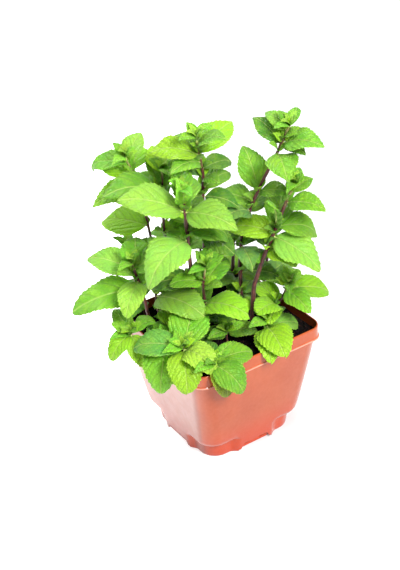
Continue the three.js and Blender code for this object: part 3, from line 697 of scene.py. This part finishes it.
def sheet_pattern(tree, rows, columns):
    """A flat closed leaf with an upper and an under skin, welded round the margin.
    place holds q, the share of the way to the tip, and side, -1..1 across."""
    grid = node(tree, "GeometryNodeMeshGrid",
                {"Size X": 1.0, "Size Y": 2.0, "Vertices X": rows + 1, "Vertices Y": columns + 1})
    spot = node(tree, "ShaderNodeSeparateXYZ",
                {0: tree.nodes.new("GeometryNodeInputPosition").outputs[0]})
    q, side = Term(tree, spot.outputs[0]) + 0.5, Term(tree, spot.outputs[1])
    placed = node(tree, "ShaderNodeCombineXYZ", {0: q, 1: side})
    upper = stored(tree, grid.outputs[0], "place", placed.outputs[0], "FLOAT_VECTOR")
    inner = (1 - abs(side)).over(0.001) * (q - q * q).over(0.001)
    lower = node(tree, "GeometryNodeFlipFaces", {0: upper}).outputs[0]
    lower = stored(tree, lower, "drop", inner)
    lower = stored(tree, lower, "under", 1.0, domain="FACE")
    sunk = node(tree, "ShaderNodeCombineXYZ", {2: inner * -0.1})
    lower = node(tree, "GeometryNodeSetPosition",
                 {"Geometry": lower, "Offset": sunk.outputs[0]}).outputs[0]
    return node(tree, "GeometryNodeMergeByDistance",
                {"Geometry": joined(tree, upper, lower), "Distance": 0.0001}).outputs[0]


def blade_shape(tree, thickness):
    """Where a point of a blade goes: the leaf's own frame, its outline with forward-pointing
    teeth, the arch and fold, the quilting between side veins, and a little waviness."""
    place = node(tree, "ShaderNodeSeparateXYZ", {0: named(tree, "place", "FLOAT_VECTOR")})
    q, side = Term(tree, place.outputs[0]), Term(tree, place.outputs[1])
    blade, half, bow = (Term(tree, named(tree, key)) for key in ("blade", "half", "bow"))
    teeth, quilt, wave, seed, twist, tip = (
        Term(tree, named(tree, key)) for key in ("teeth", "quilt", "wave", "seed", "twist", "tip"))
    outline = (q.at_least(0) ** 0.82 * math.pi).sin().at_least(0)
    outline = outline ** Term(tree, named(tree, "blunt")) * half
    outline = outline + EDGE_ROOM * MM
    tooth = ((q * teeth + 0.002).fraction() - 0.35) * abs(side) ** 10
    taper = (q * math.pi).sin().at_least(0) ** 0.35
    y = side * (outline + tooth * taper * half * 0.1)
    x = q * blade + tooth * taper * blade * 0.012
    spread = abs(y) / blade
    lane = vein_lane(q, spread)
    pillow = abs((lane * math.pi + math.pi / 2).sin()) ** 0.7 - 0.6
    pillow = pillow + (spread * 70 + lane * 2 + seed * 9).sin() * (lane * 6.3 + 1).sin() * 0.16
    envelope = abs(side).ramp(0.03, 0.25) * abs(side).ramp(0.8, 1.0, 1, 0.25) * taper
    bend = (q * 5.2 + seed * 23).sin() * abs(side) * side * wave * half
    bend = bend + (q * 11 + seed * 57 + side * 1.5).sin() * side * side * wave * half * 0.55
    droop = side * side * side * side * half * -0.13
    lengthwise = bow * 4 * q * (1 - q) - (q - CURL_FROM).at_least(0) ** 2 * blade * tip
    z = (lengthwise + abs(y) * LEAF_FOLD + droop + bend + y * (q - 0.3) * twist
         + pillow * envelope * quilt)
    z = z - Term(tree, named(tree, "drop")) * thickness
    spot = added(tree, named(tree, "foot", "FLOAT_VECTOR"),
                 scaled(tree, named(tree, "along", "FLOAT_VECTOR"), x),
                 scaled(tree, named(tree, "across", "FLOAT_VECTOR"), y),
                 scaled(tree, named(tree, "up", "FLOAT_VECTOR"), z))
    record = node(tree, "ShaderNodeCombineXYZ", {0: q, 1: side, 2: spread})
    return spot, record.outputs[0]


STALK, PETIOLE, BLADE, PLAIN_BLADE = range(4)       # what kind of point each one is


def leafy_stem_tree():
    """BLADE and PLAIN_BLADE points become blades, fine and plain; the edges between the rest become
    square stalks."""
    tree, keys, entry, leave = new_tree("leafy_stem", {
        "Geometry": "NodeSocketGeometry", "Rows": "NodeSocketInt", "Columns": "NodeSocketInt",
        "Leaf thickness": "NodeSocketFloat", "Leaf finish": "NodeSocketMaterial",
        "Stalk finish": "NodeSocketMaterial"})
    source = entry.outputs["Geometry"]
    kind = Term(tree, named(tree, "kind"))
    parts = []
    for code, share in ((BLADE, 1.0), (PLAIN_BLADE, PLAIN_DETAIL)):
        rows = (Term(tree, entry.outputs["Rows"]) * share).run("ROUND")
        columns = (Term(tree, entry.outputs["Columns"]) * share * 0.5).run("ROUND") * 2
        here = kind.run("COMPARE", float(code), 0.1)
        blades = node(tree, "GeometryNodeInstanceOnPoints",
                      {"Points": source, "Selection": here,
                       "Instance": sheet_pattern(tree, rows, columns)})
        parts.append(node(tree, "GeometryNodeRealizeInstances", {0: blades.outputs[0]}).outputs[0])
    spot, record = blade_shape(tree, Term(tree, entry.outputs["Leaf thickness"]))
    shaped = joined(tree, *reversed(parts))
    shaped = stored(tree, shaped, "place_out", record, "FLOAT_VECTOR")
    shaped = node(tree, "GeometryNodeSetPosition",
                  {"Geometry": shaped, "Position": spot}).outputs[0]
    shaped = stored(tree, shaped, "place", named(tree, "place_out", "FLOAT_VECTOR"),
                    "FLOAT_VECTOR")
    shaped = node(tree, "GeometryNodeSetShadeSmooth", {"Geometry": shaped}).outputs[0]
    angle = Term(tree, tree.nodes.new("GeometryNodeInputMeshEdgeAngle").outputs[0])
    shaped = node(tree, "GeometryNodeSetShadeSmooth",
                  {"Geometry": shaped, "Selection": angle.over(1.2), "Shade Smooth": False},
                  domain="EDGE").outputs[0]
    shaped = node(tree, "GeometryNodeSetMaterial",
                  {"Geometry": shaped, "Material": entry.outputs["Leaf finish"]}).outputs[0]

    lines = node(tree, "GeometryNodeMeshToCurve",
                 {"Mesh": source, "Selection": kind.run("LESS_THAN", PETIOLE + 0.5)}).outputs[0]
    square = node(tree, "GeometryNodeCurvePrimitiveQuadrilateral", {"Width": 1.5, "Height": 1.5})
    rounded = node(tree, "GeometryNodeFilletCurve", {"Curve": square.outputs[0], "Radius": 0.42},
                   mode="POLY")
    rounded.inputs["Count"].default_value = 3
    stalks = node(tree, "GeometryNodeCurveToMesh",
                  {"Curve": lines, "Profile Curve": rounded.outputs[0],
                   "Scale": named(tree, "stoutness"), "Fill Caps": True}).outputs[0]
    stalks = node(tree, "GeometryNodeSetShadeSmooth", {"Geometry": stalks}).outputs[0]
    stalks = node(tree, "GeometryNodeSetMaterial",
                  {"Geometry": stalks, "Material": entry.outputs["Stalk finish"]}).outputs[0]
    tree.links.new(joined(tree, shaped, stalks), leave.inputs[0])
    return tree, keys


def run_tree(source, tree, keys, inputs):
    """Puts a node tree on an object, with a value for each of its named inputs."""
    modifier = source.modifiers.new(tree.name, "NODES")
    modifier.node_group = tree
    for label, value in inputs.items():
        modifier[keys[label]] = value


def plain_copy(source, name):
    """The evaluated object as a plain mesh object, with the modifiers left behind."""
    graph = bpy.context.evaluated_depsgraph_get()
    mesh = bpy.data.meshes.new_from_object(source.evaluated_get(graph), depsgraph=graph,
                                           preserve_all_data_layers=True)
    mesh.name = name
    result = bpy.data.objects.new(name, mesh)
    bpy.context.collection.objects.link(result)
    old = source.data
    bpy.data.objects.remove(source)
    bpy.data.meshes.remove(old)
    return result


def object_from(name, vertices, edges=(), faces=()):
    mesh = bpy.data.meshes.new(name)
    mesh.from_pydata([tuple(v) for v in vertices], [tuple(e) for e in edges],
                     [tuple(f) for f in faces])
    made = bpy.data.objects.new(name, mesh)
    bpy.context.collection.objects.link(made)
    return made


def put_attribute(mesh, name, kind, values):
    layer = mesh.attributes.new(name, kind, "POINT")
    field = "vector" if kind == "FLOAT_VECTOR" else "value"
    layer.data.foreach_set(field, np.asarray(values, dtype=np.float32).ravel())


LEAF_NUMBERS = ("blade", "half", "bow", "blunt", "teeth", "quilt", "wave", "seed", "twist", "tip")
LEAF_VECTORS = ("foot", "along", "across", "up", "tone")


def leaf_bluntness(leaf):
    """The least and the most power of a blade's outline: a low one is round, a high one pointed.
    Leaves low on the plant are round."""
    height = leaf["base"][2]
    if leaf["kind"] in ("bud", "leaflet"):
        return 0.85, 1.05
    if height < 140:
        return 0.48, 0.68
    return (0.6, 0.85) if height < 175 else (0.78, 1.05)


def leaf_traits(leaf):
    """The looks of one leaf: its green, and how it is quilted, waved, twisted and curled."""
    seed = leaf["seed"]
    draw = [scatter(seed * 91 + k) for k in range(6)]
    shade = leaf["shade"]
    if shade is None:
        if leaf["kind"] == "bud":
            shade = "c"
        else:
            # leaves low on the plant, under the others, mostly get the dark greens d and b: painted
            # shade
            choices = "dbdmlmd" if leaf["base"][2] < 125 else "mdmplmb"
            shade = choices[int(draw[0] * len(choices))]
    colour, quilt = SHADES[shade]
    tone = np.array(linear(colour)) * mix(0.95, 1.45, draw[1])
    tone = tone * np.array([mix(0.9, 1.12, draw[2]), 1, mix(0.8, 1.2, draw[3])])
    bare = leaf["petiole"] * BARE_PETIOLE
    blade = leaf["length"] - bare
    teeth = 13 if blade > 20 else 9 if blade > 12 else 6
    return dict(tone=tone, blade=blade * MM, half=leaf["half"] * FULLNESS * MM,
                bow=leaf["bow"] * MM, teeth=teeth, blunt=mix(*leaf_bluntness(leaf), draw[1]),
                quilt=quilt * min(blade / 30, 1) * 0.8 * MM,
                wave=mix(0.05, 0.16, draw[4]), seed=seed, twist=mix(-0.18, 0.18, draw[5]),
                tip=mix(0.1, 0.9, draw[0]), foot=(leaf["base"] + leaf["along"] * bare) * MM,
                along=leaf["along"], across=leaf["across"], up=leaf["up"])


def petiole_line(leaf, traits):
    """The stalk of a leaf, going on as the midrib under its blade."""
    start, foot, under = leaf["base"] * MM, traits["foot"], leaf["up"] * -0.0003
    points = [start, start + (foot - start) * 0.5 + under, foot + under]
    stout = [PETIOLE_HALF * 1.15, PETIOLE_HALF * 0.9, PETIOLE_HALF * 0.8]
    steps = 9
    for i in range(1, steps + 1):
        q = 0.86 * i / steps
        rise = traits["bow"] * 4 * q * (1 - q)
        rise -= max(q - CURL_FROM, 0) ** 2 * traits["blade"] * traits["tip"]
        size = PETIOLE_HALF * mix(0.7, 0.16, q)
        points.append(foot + leaf["along"] * q * traits["blade"] + under
                      + leaf["up"] * (rise - size * MM * 0.55))
        stout.append(size)
    scale = min(1.0, leaf["length"] / 30) * 0.8 + 0.2
    return points, [s * scale for s in stout]


def small_leaf(stem, base, heading, pitch, length, shade, seed):
    """A tiny leaf without a stalk of its own, at a growing tip or in the angle of a bigger one."""
    row = dict(stem=stem, base=base, roll=0, petiole=0.6, length=length, kind="leaflet",
               shade=shade, seed=seed, half=length * 0.29, bow=length * 0.12)
    return aim_leaf(row, heading, pitch)


def tip_leaflets(stem):
    """Pairs of young crinkled leaves at a growing tip, folded up more towards its middle."""
    made = []
    for k, (turn, length, pitch, shade) in enumerate(TIP_LEAVES):
        base = stem_point(stem, 1 - TIP_SPACING * (len(TIP_LEAVES) - 1 - k) / stem["length"])
        for half in (0, 180):
            draw = scatter(stem["number"] * 17 + k * 5 + half + 3)
            leaflet = small_leaf(stem, base, stem["turn"] + turn + half + 30 * (draw - 0.5),
                                 pitch + 14 * (scatter(draw * 7 + k) - 0.5),
                                 length * mix(0.8, 1.15, draw), shade, draw)
            leaflet["half"] *= TIP_NARROWING
            made.append(leaflet)
    return made


def side_shoots(stem, leaves):
    """A tiny pair of leaves in the angle between each leaf and its stem."""
    made = []
    for number, leaf in enumerate(leaves):
        if leaf["kind"] == "bud" or leaf["length"] < 20:
            continue
        base = leaf["base"] + [0, 0, 1.2]
        for side in (-1, 1):
            draw = scatter(leaf["seed"] * 37 + side + number)
            length = mix(6, 12, draw)
            made.append(small_leaf(stem, base, leaf["heading"] + side * mix(35, 70, draw),
                                   mix(30, 60, scatter(draw * 11)), length,
                                   "lmm"[number % 3], draw))
    return made


def stalk_line(stem):
    """The drawn stalk of a stem, from below the soil to its tip: its points, the half thickness and
    the greenness at each."""
    count = max(6, round(stem["length"] / STALK_STEP))
    root = stem_point(stem, 0).copy()
    root[2] = SOIL_TOP - ROOT_DEPTH
    points, sizes, green = [root * MM], [stem["girth"]], [0.0]
    for i in range(count + 1):
        share = i / count
        beat = math.cos(2 * math.pi * share * stem["length"] / NODE_SPACING)
        swell = 1 + NODE_SWELL * max(0, beat) ** 4
        points.append(stem_point(stem, share) * MM)
        sizes.append(stem["girth"] * mix(1.0, STALK_TAPER, share) * swell)
        green.append(mix(0.0, 0.55, max(0, share - 0.55) / 0.45)
                     + 0.15 * (scatter(stem["number"]) - 0.3))
    points.append((stem_point(stem, 1) + [0, 0, 1.5]) * MM)
    return points, sizes + [stem["girth"] * 0.4], green + [0.7]


def grow_stem(stem, leaves, tree, keys, finishes):
    """One leafy stem: its stalks as lines and its leaves as points, which the tree makes solid."""
    vertices, edges, kinds, stout, greenness, traits = [], [], [], [], [], []

    def add_line(points, sizes, code, green):
        first = len(vertices)
        vertices.extend(points)
        kinds.extend([code] * len(points))
        stout.extend([size * MM for size in sizes])
        greenness.extend(green)
        traits.extend([None] * len(points))
        edges.extend((first + i, first + i + 1) for i in range(len(points) - 1))

    points, sizes, green = stalk_line(stem)
    add_line(points, sizes, STALK, green)
    for leaf in leaves:
        looks = leaf_traits(leaf)
        if leaf["kind"] != "leaflet":
            line, widths = petiole_line(leaf, looks)
            blush = 0.5 if leaf["shade"] in ("d", "b") else 0.75
            green = [blush * 0.8] + [blush + 0.1] * 2 + [0.95] * (len(line) - 3)
            add_line(line, widths, PETIOLE, green)
        vertices.append(looks["foot"])
        kinds.append(PLAIN_BLADE if leaf["length"] < PLAIN_BELOW else BLADE)
        stout.append(0.0)
        greenness.append(1.0)
        traits.append(looks)

    source = object_from(stem["name"] + "_lines", vertices, edges)
    mesh = source.data
    put_attribute(mesh, "kind", "FLOAT", kinds)
    put_attribute(mesh, "stoutness", "FLOAT", stout)
    put_attribute(mesh, "greenness", "FLOAT", greenness)
    for key in LEAF_NUMBERS:
        put_attribute(mesh, key, "FLOAT", [t[key] if t else 0 for t in traits])
    for key in LEAF_VECTORS:
        put_attribute(mesh, key, "FLOAT_VECTOR",
                      [tuple(t[key]) if t else (0, 0, 0) for t in traits])
    run_tree(source, tree, keys, {
        "Rows": LEAF_ROWS, "Columns": LEAF_COLUMNS, "Leaf thickness": LEAF_THICKNESS * MM,
        "Leaf finish": finishes["leaf"], "Stalk finish": finishes["stalk"]})
    piece = plain_copy(source, stem["name"].replace("stem_", "mint_"))
    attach(piece, "root")
    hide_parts(stem["name"])


# ------------------------------------------------------------------ pot
CORNER_STEPS = 10
FLAT_HALF = (21, 19.5, 18, 16.5, 15, 13, 7)
FLAT_PLACES = FLAT_HALF + (0,) + tuple(-place for place in reversed(FLAT_HALF))

# The outside from the ground up, as pairs of a height and an amount. The feet: the height above the
# ground, and how far the sole's edge is tucked in.
FEET = ((0, 0.5), (0.5, 0.12), (1.1, 0), (4, 0), (8, 0), (11, 0), (12.4, 0))
# The ledge over them: the height above the feet, and the share of their set-back that is left.
LEDGE = ((0, 0.97), (0.35, 0.8), (0.8, 0.55), (1.5, 0.33), (2.4, 0.18), (3.6, 0.08),
         (5, 0.02), (6.5, 0))
# The walls: the height above the ground, and how far they swell.
WALLS = ((30, 0.2), (42, 0.28), (54, 0.28), (66, 0.2), (76, 0.05), (SEAM - 0.5, 0))
# The bead and the rim band: the height above the seam, and how far they stand out from the band.
RIM = ((-0.15, -0.95), (0.0, -0.2), (0.15, 0.3), (0.45, BEAD * 0.9), (BEAD_RISE, BEAD),
       (1.15, BEAD * 0.8), (1.5, BEAD * 0.3), (1.9, 0.05), (2.4, 0.0), (5, 0.0),
       (8.2, 0.0), (9.6, 0.0), (10.1, -0.08), (10.4, -0.3), (10.5, -0.55))
RIM_INSET = 0.35            # how far the drawn band lies inside the rim's full width


def wall_half(z):
    return mix(BASE_HALF, RIM_HALF - RIM_STEP, z / SEAM)


def set_back_at(z):
    """How far the corners lie behind the flats of the wall, down at the feet."""
    return max(0, wall_half(z) - mix(FOOT_HALF, FOOT_HALF + FOOT_FLARE, z / FOOT_HEIGHT))


def smooth(share):
    share = min(max(share, 0), 1)
    return share * share * (3 - 2 * share)


def pot_ring(z, half, corner, set_back=0.0):
    """A square with round corners, whose corners may be set back from its flats."""
    quarter = []
    inner = half - set_back - corner
    for i in range(CORNER_STEPS + 1):
        angle = i / CORNER_STEPS * math.pi / 2
        quarter.append((inner + corner * math.cos(angle), inner + corner * math.sin(angle)))
    blend_from, blend_to = FOOT_BLEND
    for place in FLAT_PLACES:
        depth = set_back * smooth((abs(place) - blend_from) / (blend_to - blend_from))
        quarter.append((place, half - depth))
    ring = []
    for turn in range(4):
        c, s = (1, 0, -1, 0)[turn], (0, 1, 0, -1)[turn]
        ring += [(x * c - y * s, x * s + y * c, z) for x, y in quarter]
    return ring


def loft(rings, name):
    """A closed skin through rings of equally many points, with a flat face at each end."""
    count = len(rings[0])
    vertices = [tuple(c * MM for c in p) for ring in rings for p in ring]
    faces = []
    for r in range(len(rings) - 1):
        for i in range(count):
            j = (i + 1) % count
            faces.append((r * count + i, r * count + j, (r + 1) * count + j, (r + 1) * count + i))
    faces.append(tuple(reversed(range(count))))
    faces.append(tuple(range((len(rings) - 1) * count, len(rings) * count)))
    return object_from(name, vertices, faces=faces)


def inside_rings(gap, top):
    """The space inside the walls, held a further gap away from them, up to the given top."""
    inset = WALL + gap
    thick_to = ARCH_HEIGHT + 0.5
    levels = [FLOOR_UNDERSIDE + FLOOR + gap, thick_to, thick_to + 2, FOOT_HEIGHT - 1,
              FOOT_HEIGHT + 3, FOOT_HEIGHT + 6, 35, 50, 65, SEAM - 2, SEAM + 3, top]
    rings = []
    for z in levels:
        thick = 0 if z > thick_to else BASE_THICKENING
        back = set_back_at(z) if z < FOOT_HEIGHT else 0
        half = RIM_HALF if z > SEAM else wall_half(z)
        corner = RIM_CORNER if z > SEAM else WALL_CORNER
        rings.append(pot_ring(z, half - inset - thick, corner - inset - thick, back))
    return rings


def outside_rings():
    rings = []
    for z, tuck in FEET:
        rings.append(pot_ring(z, wall_half(z) - tuck, WALL_CORNER - tuck, set_back_at(z)))
    step = set_back_at(FOOT_HEIGHT)
    for rise, share in LEDGE:
        z = FOOT_HEIGHT + rise
        rings.append(pot_ring(z, wall_half(z), WALL_CORNER, share * step))
    for z, swell in WALLS:
        rings.append(pot_ring(z, wall_half(z) + swell, WALL_CORNER))
    for rise, out in RIM:
        rings.append(pot_ring(SEAM + rise, RIM_HALF - RIM_INSET + out, RIM_CORNER))
    return rings


def cutter_box(low, high, spin=0.0):
    corners = [(x, y, z) for z in (low[2], high[2]) for y in (low[1], high[1])
               for x in (low[0], high[0])]
    faces = [(0, 2, 3, 1), (4, 5, 7, 6), (0, 1, 5, 4), (2, 6, 7, 3), (0, 4, 6, 2), (1, 3, 7, 5)]
    turned = Matrix.Rotation(spin, 3, "Z")
    return object_from("cut", [turned @ Vector(c) * MM for c in corners], faces=faces)


def arch_cutter(spin):
    """The opening between two feet, with sloping sides and round upper corners."""
    depth = 10
    near = WALL - wall_half(0)
    outline = [(-ARCH_HALF - ARCH_SLOPE, -1), (ARCH_HALF + ARCH_SLOPE, -1)]
    for k in range(5):
        a = k / 4 * math.pi / 2
        outline.append((ARCH_HALF - ARCH_SLOPE - ARCH_ROUND * (1 - math.cos(a)),
                        ARCH_HEIGHT - ARCH_ROUND * (1 - math.sin(a))))
    outline += [(-x, z) for x, z in reversed(outline[2:])]
    count = len(outline)
    points = [(x, near, z) for x, z in outline] + [(x, near - depth, z) for x, z in outline]
    faces = [tuple(reversed(range(count))), tuple(range(count, 2 * count))]
    for i in range(count):
        j = (i + 1) % count
        faces.append((i, j, count + j, count + i))
    turned = Matrix.Rotation(spin, 3, "Z")
    return object_from("cut", [turned @ Vector(p) * MM for p in points], faces=faces)


def make_pot(finish):
    pot = loft(outside_rings(), "pot_shell")
    cutters = [loft(inside_rings(0, POT_HEIGHT + 5), "cut")]
    reach = wall_half(0) + 5
    cutters.append(cutter_box((-reach, -FOOT_SOLE, -1), (reach, FOOT_SOLE, FLOOR_UNDERSIDE)))
    cutters.append(cutter_box((-FOOT_SOLE, -reach, -1.01), (FOOT_SOLE, reach, FLOOR_UNDERSIDE)))
    for side in range(4):
        spin = side * math.pi / 2
        cutters.append(arch_cutter(spin))
        for place in (-SLOT_OFFSET, SLOT_OFFSET):
            cutters.append(cutter_box((place - SLOT_WIDE / 2, -wall_half(0) - 4, SLOT_LOW),
                                      (place + SLOT_WIDE / 2, -wall_half(0) + 4, SLOT_HIGH), spin))
    for cutter in cutters:
        modifier = pot.modifiers.new("cut", "BOOLEAN")
        modifier.operation = "DIFFERENCE"
        modifier.solver = "EXACT"
        modifier.object = cutter
    piece = plain_copy(pot, "square_pot")
    for cutter in cutters:
        bpy.data.objects.remove(cutter)
    piece.data.materials.clear()
    piece.data.materials.append(finish)
    piece.data.shade_smooth()
    piece.data.set_sharp_from_angle(angle=math.radians(38))
    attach(piece, "root")
    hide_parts("pot")


# ------------------------------------------------------------------ soil
SOIL_EDGE = 0.5             # how far the soil dips at the wall
TOP_RINGS = 47              # rings of the soil's top, each a fiftieth of the half width further in
CRUMBS = {"Density": 300000.0, "Smallest": 0.0004, "Largest": 0.0022, "Seed": 7}   # in metres


def soil_height(x, y):
    """The soil's low hills and hollows, as a height over its level."""
    swell = math.sin(x * 0.21 + 1) * math.cos(y * 0.17) + 0.5 * math.sin(x * 0.47 + y * 0.39)
    return SOIL_LUMPS * swell * 0.8


def crumb_tree():
    """Scatters ragged crumbs of soil over the top of the bed, most of them small."""
    tree, keys, entry, leave = new_tree("soil_crumbs", {
        "Geometry": "NodeSocketGeometry", "Density": "NodeSocketFloat",
        "Smallest": "NodeSocketFloat", "Largest": "NodeSocketFloat", "Seed": "NodeSocketInt",
        "Finish": "NodeSocketMaterial"})
    source = entry.outputs["Geometry"]
    top = Term(tree, named(tree, "top"))
    spread = node(tree, "GeometryNodeDistributePointsOnFaces",
                  {"Mesh": source, "Selection": top.over(0.5), "Density": entry.outputs["Density"],
                   "Seed": entry.outputs["Seed"]})
    size = node(tree, "FunctionNodeRandomValue", {"Seed": entry.outputs["Seed"]}, data_type="FLOAT")
    amount = Term(tree, enabled(size.outputs)[0]) ** 3.0
    low, high = Term(tree, entry.outputs["Smallest"]), Term(tree, entry.outputs["Largest"])
    radius = low + amount * (high - low)
    full_turn = (6.3, 6.3, 6.3)
    turn = node(tree, "FunctionNodeRandomValue", {1: full_turn, "Seed": 3},
                data_type="FLOAT_VECTOR")
    flat = node(tree, "ShaderNodeCombineXYZ", {0: radius, 1: radius * 0.8, 2: radius * 0.62})
    ball = node(tree, "GeometryNodeMeshIcoSphere", {"Radius": 1.0, "Subdivisions": 1})
    crumbs = node(tree, "GeometryNodeInstanceOnPoints",
                  {"Points": spread.outputs["Points"], "Instance": ball.outputs[0],
                   "Rotation": enabled(turn.outputs)[0], "Scale": flat.outputs[0]})
    solid = node(tree, "GeometryNodeRealizeInstances", {0: crumbs.outputs[0]}).outputs[0]
    where = tree.nodes.new("GeometryNodeInputPosition").outputs[0]
    ragged = node(tree, "ShaderNodeTexNoise", {"Vector": where, "Scale": 900.0, "Detail": 1.0})
    shift = node(tree, "ShaderNodeVectorMath", {0: ragged.outputs["Color"], 1: (0.5, 0.5, 0.5)},
                 operation="SUBTRACT").outputs[0]
    solid = node(tree, "GeometryNodeSetPosition",
                 {"Geometry": solid, "Offset": scaled(tree, shift, 0.0009)}).outputs[0]
    painted = node(tree, "GeometryNodeSetMaterial",
                   {"Geometry": joined(tree, source, solid),
                    "Material": entry.outputs["Finish"]}).outputs[0]
    tree.links.new(painted, leave.inputs[0])
    return tree, keys


def make_soil(finish):
    rings = inside_rings(FIT, SOIL_TOP - SOIL_EDGE)
    wall_ring = rings[-1]
    for k in range(1, TOP_RINGS + 1):
        share = 1 - 0.02 * k
        edge = min(1, (1 - share) * 9)
        ring = []
        for i, (wall_x, wall_y, _) in enumerate(wall_ring):
            x, y = wall_x * share, wall_y * share
            rough = (scatter(i * 3.1 + k * 17.7) - 0.5) * 0.7
            ring.append((x, y, SOIL_TOP - SOIL_EDGE * (1 - edge)
                         + edge * (soil_height(x, y) + rough)))
        rings.append(ring)
    body = loft(rings, "soil_body")
    first_top = (len(rings) - TOP_RINGS - 1) * len(wall_ring)
    put_attribute(body.data, "top", "FLOAT",
                  [1.0 if i >= first_top else 0.0 for i in range(len(body.data.vertices))])
    tree, keys = crumb_tree()
    run_tree(body, tree, keys, dict(CRUMBS, Finish=finish))
    piece = plain_copy(body, "potting_soil")
    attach(piece, "root")
    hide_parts("soil")


# ------------------------------------------------------------------ camera and light, in metres
CAMERA_AZIMUTH = -32.71
CAMERA_ELEVATION = 32.78
CAMERA_DISTANCE = 1.0
CAMERA_SIDE = -0.01204      # how far the aim lies to the right of the pot's axis
CAMERA_AIM_HEIGHT = 0.1209
CAMERA_ROLL = 3.36
FOCAL_PIXELS = 1386.4
FRAME_HEIGHT = 570
SENSOR = 36.0
FLOOR_HALF = 12
FLOOR_GLOW = (0.2, 1.9)     # how much the floor glows, at the front right and the far left
SKY_STRENGTH = 0.4
LIGHTS = (                  # place, the height on the pot's axis that it aims at, size, watts
    ("window", (0.1, -1.3, 1.25), 0.12, 0.6, 54),
    ("overhead", (-0.2, -0.3, 1.9), 0.15, 0.8, 24),
    ("back", (0.0, 1.35, 1.5), 0.15, 0.8, 34))


def make_camera():
    a, e = math.radians(CAMERA_AZIMUTH), math.radians(CAMERA_ELEVATION)
    level = Vector((math.cos(a), math.sin(a), 0))
    back = Vector((math.sin(a) * math.cos(e), -math.cos(a) * math.cos(e), math.sin(e)))
    upright = back.cross(level)
    roll = math.radians(CAMERA_ROLL)
    right = level * math.cos(roll) - upright * math.sin(roll)
    up = upright * math.cos(roll) + level * math.sin(roll)
    aim = level * CAMERA_SIDE + Vector((0, 0, CAMERA_AIM_HEIGHT))
    data = bpy.data.cameras.new("camera")
    data.sensor_width = SENSOR
    data.lens = FOCAL_PIXELS * SENSOR / FRAME_HEIGHT
    camera = bpy.data.objects.new("camera", data)
    turned = Matrix((right, up, back)).transposed().to_4x4()
    camera.matrix_world = Matrix.Translation(aim + back * CAMERA_DISTANCE) @ turned
    bpy.context.collection.objects.link(camera)
    bpy.context.scene.camera = camera


def add_light(name, place, aim_height, size, power):
    data = bpy.data.lights.new(name, "AREA")
    data.shape = "DISK"
    data.size = size
    data.energy = power
    lamp = bpy.data.objects.new(name, data)
    lamp.location = place
    lamp.rotation_mode = "QUATERNION"
    lamp.rotation_quaternion = (Vector((0, 0, aim_height)) - Vector(place)).to_track_quat("-Z", "Y")
    bpy.context.collection.objects.link(lamp)


def make_stage():
    """A pale floor that glows more to the far left, where the glossy pot mirrors it."""
    corners = [(-1, -1), (1, -1), (1, 1), (-1, 1)]
    floor = object_from("floor", [(x * FLOOR_HALF, y * FLOOR_HALF, 0) for x, y in corners],
                        faces=[(0, 1, 2, 3)])
    material, tree = new_material("pale_floor")
    where = node(tree, "ShaderNodeTexCoord").outputs["Object"]
    spot = node(tree, "ShaderNodeSeparateXYZ", {0: where})
    inward = Term(tree, spot.outputs[1]) * 0.6 - Term(tree, spot.outputs[0]) * 0.8
    reach = Term(tree, node(tree, "ShaderNodeVectorMath", {0: where},
                            operation="LENGTH").outputs["Value"])
    glow = inward.ramp(-0.04, 0.12, *FLOOR_GLOW) + reach.ramp(0.5, 2.5)
    skin = node(tree, "ShaderNodeBsdfPrincipled",
                {"Base Color": (0.5, 0.5, 0.5, 1), "Roughness": 0.9, "Specular IOR Level": 0.2,
                 "Emission Color": (1, 1, 1, 1), "Emission Strength": glow})
    finish_material(tree, skin.outputs[0])
    floor.data.materials.append(material)
    world = bpy.data.worlds.new("studio")
    bpy.context.scene.world = world
    world.use_nodes = True
    world.node_tree.nodes["Background"].inputs[0].default_value = (1, 1, 1, 1)
    world.node_tree.nodes["Background"].inputs[1].default_value = SKY_STRENGTH
    for light in LIGHTS:
        add_light(*light)
    bpy.context.scene.view_settings.view_transform = "Standard"


# ------------------------------------------------------------------ the potted mint
make_camera()
make_stage()
make_pot(plastic_material())
make_soil(soil_material())
finishes = {"leaf": leaf_material(), "stalk": stalk_material()}
leaves = place_leaves()
grow_tree, grow_keys = leafy_stem_tree()
for stem in STEMS:
    own = [leaf for leaf in leaves if leaf["stem"] is stem]
    young = tip_leaflets(stem) + side_shoots(stem, own)
    grow_stem(stem, own + young, grow_tree, grow_keys, finishes)
